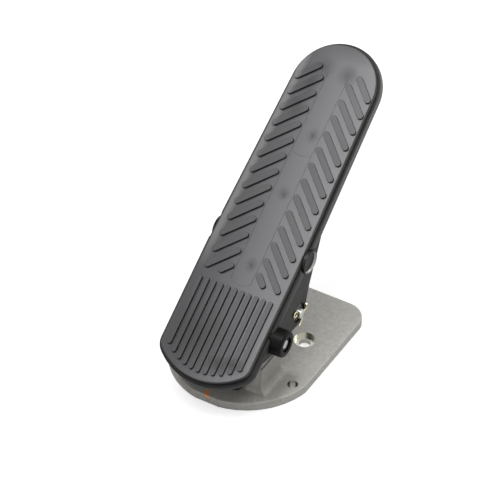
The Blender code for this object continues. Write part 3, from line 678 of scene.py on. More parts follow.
for side in (1, -1):
    low, high = sorted((side * (WEB_OUTER + 0.05), side * PAST_ALL))
    carve(deck, axle("notch", NOTCH_RADIUS, low, high, *CUP_PLACE, 96))
    merge(webs, side_cup(side))
print("side cups:", holes(webs), holes(deck), "open edges")

# %% Bores and spotfaces
BUSH_BORE = 6.1
PIN_BORE = 4.2
SPOTFACE_RADIUS = 7.7
SPOTFACE_DEPTH = 2.2
BORE_START = 21
STUD_GAP = 0.3
UNDER_DECK = 20
for side in (1, -1):
    low, high = sorted((side * BORE_START, side * PAST_ALL))
    carve(webs, axle("bore", BUSH_BORE, low, high, 0, 0, 64))
    low, high = sorted((side * (WEB_OUTER - SPOTFACE_DEPTH), side * PAST_ALL))
    carve(webs, axle("spotface", SPOTFACE_RADIUS, low, high, ROLLER_Y, ROLLER_Z, 64))
carve(webs, axle("pin_bore", PIN_BORE, -PAST_ALL, PAST_ALL, ROLLER_Y, ROLLER_Z, 48))
for place in STUD_PLACES:
    y = along(place)
    for piece in (webs, deck):
        carve(piece, coin("stud_room", STUD_HEAD + STUD_GAP, 0, y, below(UNDER_DECK), below(STUD_SEAT - 0.1),
                          STUD_FACETS))
    carve(deck, coin("stud_hole", STUD_RADIUS + STUD_GAP, 0, y, below(UNDER_DECK), below(0), STUD_FACETS))
for piece in (deck, webs):
    tidy_normals(piece)
    hang(piece)
    smooth(piece, 35)
    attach(piece, "pedal")
    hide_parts("treadle")
print("deck:", count(deck), holes(deck), "webs:", count(webs), holes(webs), "triangles and open edges")

# %% [markdown]
# ## The mounting plate
#
# A sand-cast aluminium plate: a round front, straight sides, two lugs for the fulcrum pin and a low boss
# that guides the plunger. It is made the same way as the webs, cast first and machined after.

# %% The plate's outline
PLATE_THICKNESS = 7.6
PLATE_FRONT = 60.5
PLATE_SIDE = 59.4
PLATE_BACK = 86.0
PLATE_CORNER = 17.0
FRONT_FLAT = -59.67
GUIDE_RADIUS = 13.0
GUIDE_HEIGHT = 6.4


def plate_body():
    """The flat plate: a round front cut flat at three sides, hulled with two round back corners."""
    front = coin("mounting_casting", PLATE_FRONT, 0, 0, 0, PLATE_THICKNESS, 256)
    edit(front)
    for x, y in ((PLATE_SIDE, 0), (-PLATE_SIDE, 0), (0, FRONT_FLAT)):
        bpy.ops.mesh.select_all(action="SELECT")
        bpy.ops.mesh.bisect(plane_co=(x * MM, y * MM, 0), plane_no=Vector((x, y, 0)).normalized(),
                            use_fill=True, clear_outer=True)
    leave()
    corner_x = PLATE_SIDE - PLATE_CORNER
    corner_y = PLATE_BACK - PLATE_CORNER
    corners = [coin("corner_coin", PLATE_CORNER, side * corner_x, corner_y, 0, PLATE_THICKNESS, 96)
               for side in (1, -1)]
    pick(front, *corners)
    bpy.ops.object.join()
    plate = named("mounting_casting")
    edit(plate)
    bpy.ops.mesh.select_all(action="SELECT")
    bpy.ops.mesh.convex_hull()
    bpy.ops.mesh.select_all(action="SELECT")
    bpy.ops.mesh.dissolve_limited(angle_limit=NEARLY_FLAT)
    leave()
    return tidy_normals(plate)


plate = plate_body()
print("plate:", [round(side / MM, 1) for side in plate.dimensions], holes(plate), "open edges")

# %% [markdown]
# Each lug is drawn twice: once as seen from the front, with its foot fillet, its ledge and the groove
# along the ledge, and once as seen from the side. What both drawings have in common is the lug. The
# Boolean modifier's Intersect keeps just that.

# %% The lugs
LUG_INNER = 21.0
LUG_OUTER = 35.0
LUG_HEAD = 30.0
LUG_LEDGE = 31.5
LUG_FRONT = -38.0
LUG_BACK = -8.0
LUG_LEAN = 2.8
LUG_FILLET = 6.0
LUG_HEAD_RADIUS = 6.6
LUG_INNER_FILLET = 1.2
LUG_ABOVE_HEAD = 68.0
GROOVE_LIP = 0.8
GROOVE_LIP_DROP = 0.9
GROOVE_FAR = 3.0
GROOVE_DEPTH = 1.8


def arc(centre, radius, start, end, steps):
    """Points on an arc, from one angle in degrees to another."""
    angles = [math.radians(start + (end - start) * i / steps) for i in range(steps + 1)]
    return [(centre[0] + radius * math.cos(angle), centre[1] + radius * math.sin(angle)) for angle in angles]


def lug(side):
    """One lug, as what its front view and its side view have in common."""
    top = PLATE_THICKNESS
    lip_x, far_x = LUG_OUTER - GROOVE_LIP, LUG_OUTER - GROOVE_FAR
    lip_z, groove_z = LUG_LEDGE - GROOVE_LIP_DROP, LUG_LEDGE - GROOVE_DEPTH
    section = [(LUG_INNER - LUG_INNER_FILLET, top - 1.5), (LUG_OUTER + LUG_FILLET, top - 1.5)]
    section += arc((LUG_OUTER + LUG_FILLET, top + LUG_FILLET), LUG_FILLET, -90, -180, 8)
    section += [(LUG_OUTER, lip_z), (lip_x, lip_z), (lip_x, groove_z), (far_x, groove_z), (far_x, LUG_LEDGE),
                (LUG_HEAD, LUG_LEDGE), (LUG_HEAD, LUG_ABOVE_HEAD), (LUG_INNER, LUG_ABOVE_HEAD)]
    section += arc((LUG_INNER - LUG_INNER_FILLET, top + LUG_INNER_FILLET), LUG_INNER_FILLET, 0, -90, 4)
    front_view = drawn("lug", [(side * x, z) for x, z in section], LUG_FRONT - 8, LUG_BACK + 8, axis="y")
    outline = [(LUG_BACK + LUG_FILLET, top - 3)]
    outline += arc((LUG_BACK + LUG_FILLET, top + LUG_FILLET), LUG_FILLET, -90, -180, 8)
    outline += arc((FULCRUM_Y, FULCRUM_Z), LUG_HEAD_RADIUS, 10, 170, 24)
    outline += [(LUG_FRONT + LUG_LEAN, LUG_LEDGE), (LUG_FRONT, top + LUG_LEAN),
                (LUG_FRONT - LUG_LEAN, top - 3)]
    low, high = sorted((side * (LUG_INNER - 12), side * (LUG_OUTER + 12)))
    side_view = drawn("lug_side", outline, low, high)
    apply_modifier(front_view, "BOOLEAN", operation="INTERSECT", object=side_view, solver="EXACT")
    bpy.data.objects.remove(side_view, do_unlink=True)
    return front_view


guide = coin("guide", GUIDE_RADIUS, 0, PLUNGER_Y, 3, PLATE_THICKNESS + GUIDE_HEIGHT, 96)
merge(plate, lug(1), lug(-1), guide)
print("plain plate:", holes(plate), "open edges")
apply_modifier(plate, "REMESH", mode="VOXEL", voxel_size=0.55 * MM, adaptivity=0)
apply_modifier(plate, "SMOOTH", factor=0.5, iterations=2)
apply_modifier(plate, "DECIMATE", ratio=0.35)
print("soft plate:", count(plate), "triangles")

# %% [markdown]
# Machining: two rings of three holes about the plunger. The inner ring is counterbored for the screws
# that hold the valve, the outer ring takes the floor bolts. The bores for the plunger, the fulcrum pin
# and the stop buttons follow.

# %% Holes
VALVE_CIRCLE = 37.8
FLOOR_CIRCLE = 57.7
COUNTERBORE_RADIUS = 8.45
COUNTERBORE_DEPTH = 3.6
VALVE_HOLE = 4.6
FLOOR_HOLE = 4.15
STOP_HOLE = 2.5
PLUNGER_BORE = 8.3
LUG_BORE = 4.4


def on_circle(radius, first):
    """Three places (x, y) on a circle about the plunger, from a first angle in degrees."""
    return arc((0, PLUNGER_Y), radius, first, first + 240, 2)


def drill(radius, x, y, facets, low=-5, high=20):
    """Cuts a round hole into the plate, from one height to another."""
    carve(plate, coin("hole", radius, x, y, low, high, facets))


for x, y in on_circle(VALVE_CIRCLE, 30):
    drill(VALVE_HOLE, x, y, 48)
    drill(COUNTERBORE_RADIUS, x, y, 72, low=PLATE_THICKNESS - COUNTERBORE_DEPTH)
for x, y in on_circle(FLOOR_CIRCLE, -30):
    drill(FLOOR_HOLE, x, y, 48)
drill(PLUNGER_BORE, 0, PLUNGER_Y, 64, high=30)
carve(plate, axle("bore", LUG_BORE, -45, 45, FULCRUM_Y, FULCRUM_Z, 48))
for side in (1, -1):
    drill(STOP_HOLE, side * STOP_X, STOP_Y, 24)
tidy_normals(plate)
smooth(plate, 35)
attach(plate, "base")
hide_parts("mounting_plate")
print("finished plate:", count(plate), "triangles,", holes(plate), "open edges")

# %% [markdown]
# ## Turned pieces
#
# Pins, bushes, the roller, the plunger and the rubber pieces are all round, so each is one drawn profile
# swept once round its axis, as on a lathe. The Spin operator does the sweep. A profile that starts and
# ends on the axis closes by itself once its doubles are merged.

# %% A lathe
def lathe(name, profile, centre, axis="x", steps=64, closed=False):
    """Sweeps (radius, height) points in millimetres round the x or z axis through a centre."""
    place = {"x": lambda r, h: (h, r, 0), "z": lambda r, h: (r, 0, h)}[axis]
    spots = [(Vector(place(*point)) + Vector(centre)) * MM for point in profile]
    item = trace(name, spots + spots[:1] if closed else spots)
    bpy.ops.mesh.remove_doubles(threshold=SAME_PLACE)
    bpy.ops.mesh.select_all(action="SELECT")
    direction = {"x": (1, 0, 0), "z": (0, 0, 1)}[axis]
    bpy.ops.mesh.spin(steps=steps, angle=math.radians(360), center=Vector(centre) * MM, axis=direction)
    leave()
    return tidy_normals(item)


def ring(name, inner, outer, low, high, centre, axis="x", soft=0.3, steps=64):
    """A plain ring with softened outer corners."""
    mid = soft * 0.3
    profile = [(inner, high), (outer - soft, high), (outer - mid, high - mid), (outer, high - soft),
               (outer, low + soft), (outer - mid, low + mid), (outer - soft, low), (inner, low)]
    return lathe(name, profile, centre, axis, steps, closed=True)


def seat(item, body, node, degrees=35):
    """Smooths a finished piece, puts it on its body and hides the part of the frame that it stands for."""
    smooth(item, degrees)
    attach(item, body)
    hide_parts(node)
    print(item.name + ":", [round(side / MM, 1) for side in item.dimensions], count(item), "triangles")
    return item


# %% [markdown]
# ### Fulcrum pin and its bushes
#
# A plain ground pin is pressed into the lugs. Its ends stop short of the bosses' faces, inside black
# plastic bushes, which is why the photo shows a bright disc deep in a dark ring.

# %% Fulcrum
PIN_RADIUS = 4.1
PIN_RECESS = 1.4
PIN_TAPER = (0.7, 0.6)
BUSH_RECESS = 1.6
at_fulcrum = (0, FULCRUM_Y, FULCRUM_Z)
right_end = BOSS_ENDS[1] - PIN_RECESS
left_end = PIN_RECESS - BOSS_ENDS[-1]
face_radius = PIN_RADIUS - PIN_TAPER[0]
shaft = lathe("fulcrum_shaft", [(0, right_end), (face_radius, right_end),
                                (PIN_RADIUS, right_end - PIN_TAPER[1]), (PIN_RADIUS, left_end + PIN_TAPER[1]),
                                (face_radius, left_end), (0, left_end)], at_fulcrum)
seat(shaft, "base", "fulcrum_pin")
for side, name in ((1, "right"), (-1, "left")):
    low, high = sorted((side * BOSS_START, side * (BOSS_ENDS[side] - BUSH_RECESS)))
    bush = ring("fulcrum_bush_" + name, 4.4, 5.8, low, high, at_fulcrum)
    seat(bush, "pedal", "fulcrum_bushing_" + name)

# %% [markdown]
# ### Roller, its bush and its pin
#
# The roller turns on a headed clevis pin. The head sits in a round seat in the left web, and a washer
# and a split pin hold it in the right one.

# %% Roller and pin
at_roller = tuple(ROLLER_AXIS / MM)
roller = lathe("pedal_roller", [(6.3, 13.0), (11.6, 13.0), (12.4, 12.7), (12.7, 11.9), (12.7, -11.9),
                                (12.4, -12.7), (11.6, -13.0), (6.3, -13.0)], at_roller, steps=96, closed=True)
seat(roller, "roller_body", "roller")
roller_bush = ring("roller_bush", 4.2, 6.0, -13.0, 13.0, at_roller)
seat(roller_bush, "roller_body", "roller_bushing")
PIN_HEAD = -36.6
clevis = lathe("clevis_pin", [(0, 41.8), (2.9, 41.8), (3.6, 41.5), (3.9, 40.9), (3.9, PIN_HEAD),
                              (6.0, PIN_HEAD), (6.0, -38.2), (5.4, -38.9), (0, -39.0)], at_roller)
COTTER_TILT = math.radians(-28)
COTTER_HOLE = 1.85
at_cotter = Vector((39.2, at_roller[1], at_roller[2])) * MM
bpy.ops.mesh.primitive_cylinder_add(vertices=24, radius=COTTER_HOLE * MM, depth=20 * MM, location=at_cotter,
                                    rotation=(math.radians(-90) + COTTER_TILT, 0, 0))
carve(clevis, settle(named("cotter_hole")))
seat(tidy_normals(clevis), "pedal", "roller_pin")
# The washer is dark metal, as painted shade in the pin's seat.
washer = ring("clevis_washer", 4.2, 7.0, 36.6, 37.6, at_roller, soft=0.2)
seat(washer, "pedal", "pin_washer")

# %% [markdown]
# ### Split pin
#
# A half-round wire folded into an eye. It is a curve through its bends, given a round section and then
# made a mesh. One leg is bent up and the other down, as a fitter leaves them.

# %% Split pin
WIRE = 0.75
EYE = 2.2


def split_pin_route():
    """(along the hole, across it, out along the pin's axis) for each bend, in millimetres."""
    lane = WIRE + 0.15
    clear = 5.3
    route = [(4.0, 7.6, 1.5), (6.0, 6.4, 1.0), (7.4, 3.9, 0.5), (6.9, 1.6, 0.1), (clear - 0.4, lane, 0),
             (0, lane, 0), (-clear + 0.8, lane, 0)]
    for angle in range(35, 326, 29):
        turn = math.radians(angle)
        route.append((-clear - 2.1 + EYE * math.cos(turn), EYE * math.sin(turn), 0))
    route += [(-clear + 0.8, -lane, 0), (0, -lane, 0), (clear - 0.6, -lane, 0), (5.8, -2.3, 0.1),
              (4.9, -4.8, 0.6), (3.0, -7.6, 1.1), (1.2, -10.2, 1.5)]
    return route


def bent_wire(name, route):
    """A round wire through the bends of a route, at the split pin's place."""
    bpy.ops.curve.primitive_bezier_curve_add()
    strand = named(name)
    curve = strand.data
    curve.splines.clear()
    spline = curve.splines.new("BEZIER")
    spline.bezier_points.add(len(route) - 1)
    for point, (run, across, out) in zip(spline.bezier_points, route):
        point.co = Vector((out, run, across)) * MM
        point.handle_left_type = "AUTO"
        point.handle_right_type = "AUTO"
    curve.bevel_depth = WIRE * MM
    curve.bevel_resolution = 4
    curve.use_fill_caps = True
    curve.resolution_u = 6
    strand.rotation_euler = (COTTER_TILT, 0, 0)
    strand.location = at_cotter
    pick(strand)
    bpy.ops.object.convert(target="MESH")
    return tidy_normals(settle(named(name)))


seat(bent_wire("split_pin", split_pin_route()), "pedal", "cotter_pin", 60)

# %% [markdown]
# ### Plunger and boot
# The roller pushes a plunger down into the valve. A rubber boot keeps dirt out of its guide: a collar gripped
# round the plate's boss, and bellows whose lip snaps into the plunger's neck. The collar stays put and the
# bellows fold, so they are two pieces.

# %% Plunger
at_plunger = (0, PLUNGER_Y, 0)
TOP = 39.6
plunger = lathe("valve_plunger", [(0, TOP), (7.0, TOP), (7.7, TOP - 0.3), (8.0, TOP - 1.0), (8.0, 31.5),
                                  (6.8, 31.5), (6.8, 29.0), (8.0, 29.0), (8.0, 1.3), (7.7, 0.6), (7.0, 0.3),
                                  (0, 0.3)], at_plunger, "z")
seat(plunger, "plunger_body", "plunger")

# %% Boot
BOOT_FOOT = 7.9
COLLAR_TOP = 15.6
LIP_TOP = 31.2
FOLDS = 3
CREST = 12.8
ROOT = 9.9
WALL = 1.2
collar = lathe("boot_collar", [(13.3, BOOT_FOOT), (14.3, BOOT_FOOT), (14.6, BOOT_FOOT + 0.3), (14.6, 14.6),
                               (14.1, 15.3), (13.2, COLLAR_TOP), (8.6, COLLAR_TOP), (8.6, 14.3),
                               (13.3, 14.3)], at_plunger, "z", 72, closed=True)
seat(collar, "base", "plunger_boot", 50)


def bellows_profile():
    """Rounded folds outside, and the same folds one wall's thickness further in."""
    low = COLLAR_TOP + 0.1
    high = LIP_TOP - 1.6
    outside = []
    steps = FOLDS * 8
    for i in range(steps + 1):
        swing = 0.5 - 0.5 * math.cos(2 * math.pi * i * FOLDS / steps)
        outside.append((ROOT + (CREST - ROOT) * swing ** 0.8, low + (high - low) * i / steps))
    inside = [(radius - WALL, height) for radius, height in reversed(outside)]
    lip = [(ROOT, LIP_TOP - 0.4), (ROOT - 0.5, LIP_TOP), (7.1, LIP_TOP), (7.1, LIP_TOP - 1.9)]
    return outside + lip + inside


bellows = lathe("boot_bellows", bellows_profile(), at_plunger, "z", 72, closed=True)
smooth(bellows, 60)
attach(bellows, "base")
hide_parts("plunger_boot")
PLUNGER_TRAVEL = 10.08
left_over = (LIP_TOP - COLLAR_TOP - PLUNGER_TRAVEL) / (LIP_TOP - COLLAR_TOP)
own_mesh(bellows)
print("bellows keep", round(left_over, 3), "of their height;", count(bellows), "triangles")

# %% [markdown]
# ### Stop buttons
#
# Two rubber buttons stand in holes in the plate, and the pedal's legs rest on them. Each is a small
# turned piece with a domed top and a stem that is pushed into its hole.

# %% Stop buttons
for side, name in ((1, "right"), (-1, "left")):
    button = lathe("button_" + name, [(0, STOP_TOP + 0.3), (2.6, STOP_TOP + 0.25), (3.9, STOP_TOP - 0.3),
                                      (4.6, STOP_TOP - 1.4), (4.7, 8.4), (4.5, 7.9), (2.2, 7.9),
                                      (2.2, 1.9), (0, 1.9)], (side * STOP_X, STOP_Y, 0), "z", 48)
    seat(button, "base", "stop_button_" + name)

# %% [markdown]
# ## Materials
#
# Every finish is built from nodes. What several finishes share is a node group: the grain of a casting,
# the faint marks of handling, and the rings that a lathe leaves. A group puts out only masks and
# heights. The shader itself stays in the material, where an exporter can read it.

# %% Node helpers
def new_material(name):
    """A material with its node tree and its shader."""
    material = bpy.data.materials.new(name)
    material.use_nodes = True
    tree = material.node_tree
    shader = tree.nodes["Principled BSDF"]
    return material, tree, shader


def put(tree, kind, label="", **values):
    """Adds a node. Values are sockets by name with _ for a space, or else properties of the node."""
    item = tree.nodes.new(kind)
    item.label = label
    for key, value in values.items():
        if hasattr(item, key):
            setattr(item, key, value)
        else:
            item.inputs[key.replace("_", " ")].default_value = value
    return item


def wire(tree, source, target):
    """Links two sockets."""
    tree.links.new(source, target)


def place(tree, scale=(1, 1, 1), turn=(0, 0, 0), shift=(0, 0, 0)):
    """Object coordinates through a Mapping node."""
    coordinates = tree.nodes.new("ShaderNodeTexCoord")
    mapping = tree.nodes.new("ShaderNodeMapping")
    mapping.inputs["Location"].default_value = shift
    mapping.inputs["Rotation"].default_value = turn
    mapping.inputs["Scale"].default_value = scale
    wire(tree, coordinates.outputs["Object"], mapping.inputs["Vector"])
    return mapping.outputs["Vector"]


def span(tree, source, low, high, to_low=0.0, to_high=1.0):
    """Stretches a value from one range to another, and stops at its ends."""
    item = tree.nodes.new("ShaderNodeMapRange")
    item.inputs["From Min"].default_value = low
    item.inputs["From Max"].default_value = high
    item.inputs["To Min"].default_value = to_low
    item.inputs["To Max"].default_value = to_high
    wire(tree, source, item.inputs["Value"])
    return item.outputs["Result"]


def mix(tree, factor, first, second):
    """Blends two colours. Each is a socket or a colour."""
    item = tree.nodes.new("ShaderNodeMix")
    item.data_type = "RGBA"
    wire(tree, factor, item.inputs["Factor"])
    for side, value in (("A", first), ("B", second)):
        socket = [s for s in item.inputs if s.name == side and s.type == "RGBA"][0]
        if isinstance(value, tuple):
            socket.default_value = (*value, 1)
        else:
            wire(tree, value, socket)
    return [s for s in item.outputs if s.type == "RGBA"][0]


def bump(tree, shader, height, depth, under=None):
    """Feeds a height, whose full swing is depth millimetres, to the shader's normal, over another bump."""
    item = tree.nodes.new("ShaderNodeBump")
    item.inputs["Strength"].default_value = 1.0
    item.inputs["Distance"].default_value = depth * MM
    wire(tree, height, item.inputs["Height"])
    if under is not None:
        wire(tree, under, item.inputs["Normal"])
    wire(tree, item.outputs["Normal"], shader.inputs["Normal"])
    return item.outputs["Normal"]


def maths(tree, operation, first, second):
    """One sum on two values. Each is a socket or a number."""
    item = tree.nodes.new("ShaderNodeMath")
    item.operation = operation
    for socket, value in zip(item.inputs, (first, second)):
        if isinstance(value, (int, float)):
            socket.default_value = value
        else:
            wire(tree, value, socket)
    return item.outputs[0]


def group(name, inputs, outputs):
    """An empty node group with float sockets, and a vector called Place."""
    tree = bpy.data.node_groups.new(name, "ShaderNodeTree")
    tree.interface.new_socket("Place", in_out="INPUT", socket_type="NodeSocketVector")
    for title, value in inputs.items():
        socket = tree.interface.new_socket(title, in_out="INPUT", socket_type="NodeSocketFloat")
        socket.default_value = value
    for title in outputs:
        tree.interface.new_socket(title, in_out="OUTPUT", socket_type="NodeSocketFloat")
    return tree, tree.nodes.new("NodeGroupInput"), tree.nodes.new("NodeGroupOutput")


def use(tree, name, where, **values):
    """Places a group in a material."""
    item = tree.nodes.new("ShaderNodeGroup")
    item.node_tree = bpy.data.node_groups[name]
    wire(tree, where, item.inputs["Place"])
    for key, value in values.items():
        item.inputs[key].default_value = value
    return item.outputs


# %% [markdown]
# ### Three shared groups
#
# Casting grain is a fine noise over a coarser one, as sand leaves it. Handling marks are a slow, blotchy
# noise with its contrast raised. Lathe rings are circles about the local z axis.

# %% Casting grain
def casting_grain():
    """Fine noise over coarse noise, as a height and as a tone."""
    tree, given, result = group("Casting Grain", {"Grains": 900.0, "Pits": 260.0}, ("Height", "Tone"))
    fine = put(tree, "ShaderNodeTexNoise", "sand grains", Detail=5.0, Roughness=0.62)
    wire(tree, given.outputs["Place"], fine.inputs["Vector"])
    wire(tree, given.outputs["Grains"], fine.inputs["Scale"])
    coarse = put(tree, "ShaderNodeTexNoise", "uneven skin", Detail=3.0, Roughness=0.55)
    wire(tree, given.outputs["Place"], coarse.inputs["Vector"])
    wire(tree, given.outputs["Pits"], coarse.inputs["Scale"])
    both = put(tree, "ShaderNodeMath", "together", operation="MULTIPLY_ADD")
    wire(tree, coarse.outputs["Fac"], both.inputs[0])
    both.inputs[1].default_value = 0.6
    wire(tree, fine.outputs["Fac"], both.inputs[2])
    wire(tree, both.outputs[0], result.inputs["Height"])
    wire(tree, span(tree, both.outputs[0], 0.55, 1.05), result.inputs["Tone"])


def handling_marks():
    """Slow blotches with raised contrast, as a mask."""
    tree, given, result = group("Handling Marks", {"Size": 40.0, "Contrast": 0.5}, ("Mask",))
    clouds = put(tree, "ShaderNodeTexNoise", "blotches", Detail=4.0, Roughness=0.55, Distortion=0.6)
    wire(tree, given.outputs["Place"], clouds.inputs["Vector"])
    wire(tree, given.outputs["Size"], clouds.inputs["Scale"])
    away = put(tree, "ShaderNodeMath", "from the middle", operation="SUBTRACT")
    wire(tree, clouds.outputs["Fac"], away.inputs[0])
    away.inputs[1].default_value = 0.5
    sharper = put(tree, "ShaderNodeMath", "contrast", operation="MULTIPLY")
    wire(tree, away.outputs[0], sharper.inputs[0])
    wire(tree, given.outputs["Contrast"], sharper.inputs[1])
    back = put(tree, "ShaderNodeMath", "back", operation="ADD", use_clamp=True)
    wire(tree, sharper.outputs[0], back.inputs[0])
    back.inputs[1].default_value = 0.5
    wire(tree, back.outputs[0], result.inputs["Mask"])


def lathe_rings():
    """Rings about the local z axis, as a height."""
    tree, given, result = group("Lathe Rings", {"Rings": 2200.0}, ("Height",))
    rings = put(tree, "ShaderNodeTexWave", "tool marks", wave_type="RINGS", rings_direction="Z",
                Distortion=1.2, Detail=2.0)
    wire(tree, given.outputs["Place"], rings.inputs["Vector"])
    wire(tree, given.outputs["Rings"], rings.inputs["Scale"])
    wire(tree, rings.outputs["Fac"], result.inputs["Height"])


casting_grain()
handling_marks()
lathe_rings()
print("groups:", [tree.name for tree in bpy.data.node_groups])

# %% [markdown]
# ### Rubber
#
# Moulded rubber is nearly black, with a broad soft sheen. It is never quite even: the mould's finish and
# handling leave paler, duller areas.

# %% Rubber finishes
def rubber(name, dark, pale, low_rough, high_rough, size, contrast, grain_depth):
    """Plain moulded rubber or plastic between two tones."""
    material, tree, shader = new_material(name)
    where = place(tree)
    marks = use(tree, "Handling Marks", where, Size=size, Contrast=contrast)["Mask"]
    grain = use(tree, "Casting Grain", where, Grains=1500.0, Pits=420.0)
    wire(tree, mix(tree, marks, dark, pale), shader.inputs["Base Color"])
    wire(tree, span(tree, marks, 0, 1, low_rough, high_rough), shader.inputs["Roughness"])
    bump(tree, shader, grain["Height"], grain_depth)
    shader.inputs["IOR"].default_value = 1.5
    return material


bellows_rubber = rubber("bellows_rubber", (0.018, 0.018, 0.018), (0.030, 0.030, 0.030), 0.50, 0.65,
                        60.0, 1.2, 0.03)

# %% [markdown]
# ### The pad's rubber
#
# The pad's face is glossy from its mould, and the tops of the bars are worn dull, so a lamp shows the face
# brighter than the bars. The tread's steep sides and the rounded shoulder are painted near black, as painted
# shade, and the shoulder's side that faces right is painted brown, as its lit side. The face is painted paler
# towards the right, as a painted sheen, which the bar tops low on the pad don't take. A pale strip along the
# left edge is a painted highlight, with a fine painted shadow line at the very edge near the toe. Dark spots
# are grime in the dimples and painted shade at the toe and at the heel's ribs. All of these are masks in the
# pad's own axes: a Mapping node lays the pad flat again, with x across, y from heel to toe and z off its
# face. Which way a face looks comes from the mesh's own normals.

# %% Pad rubber
FLAT_SHIFT = -(Matrix.Rotation(-PAD_ANGLE, 3, "X") @ FULCRUM)
PAD_UP = (0, -math.sin(PAD_ANGLE), math.cos(PAD_ANGLE))
CROWN = 1.6
# Dark spots as (across, from the heel, wide, long) in mm: grime in the three dimples, then painted shade at
# the toe and the heel.
DIRT_AND_SHADE_SPOTS = ((3.0, 205.0, 4.5, 5.5), (2.0, 155.5, 4.5, 5.0), (3.0, 95.5, 4.5, 5.5),
          (-12.0, 258.0, 7.0, 9.0), (-17.0, 243.0, 6.0, 15.0), (-19.0, 222.0, 6.0, 10.0),
          (12.0, 17.0, 12.0, 7.0), (24.0, 20.0, 9.0, 6.0), (-14.0, 30.0, 26.0, 26.0),
          (8.0, 258.0, 7.0, 8.0), (2.0, 284.0, 32.0, 14.0))


def soft_oval(tree, flat, x, distance, wide, long):
    """A soft oval round a place on the pad, 1 at its middle and 0 at its edge."""
    oval = tree.nodes.new("ShaderNodeMapping")
    oval.inputs["Scale"].default_value = (1 / (wide * MM), 1 / (long * MM), 0)
    oval.inputs["Location"].default_value = (-x / wide, -along(distance) / long, 0)
    wire(tree, flat, oval.inputs["Vector"])
    length = tree.nodes.new("ShaderNodeVectorMath")
    length.operation = "LENGTH"
    wire(tree, oval.outputs["Vector"], length.inputs[0])
    return span(tree, length.outputs["Value"], 1.3, 0.1)


def facing_up(tree):
    """How squarely a face looks along the pad's normal, from the mesh's own normals."""
    coordinates = tree.nodes.new("ShaderNodeTexCoord")
    facing = tree.nodes.new("ShaderNodeVectorMath")
    facing.operation = "DOT_PRODUCT"
    facing.inputs[1].default_value = PAD_UP
    wire(tree, coordinates.outputs["Normal"], facing.inputs[0])
    return facing.outputs["Value"]


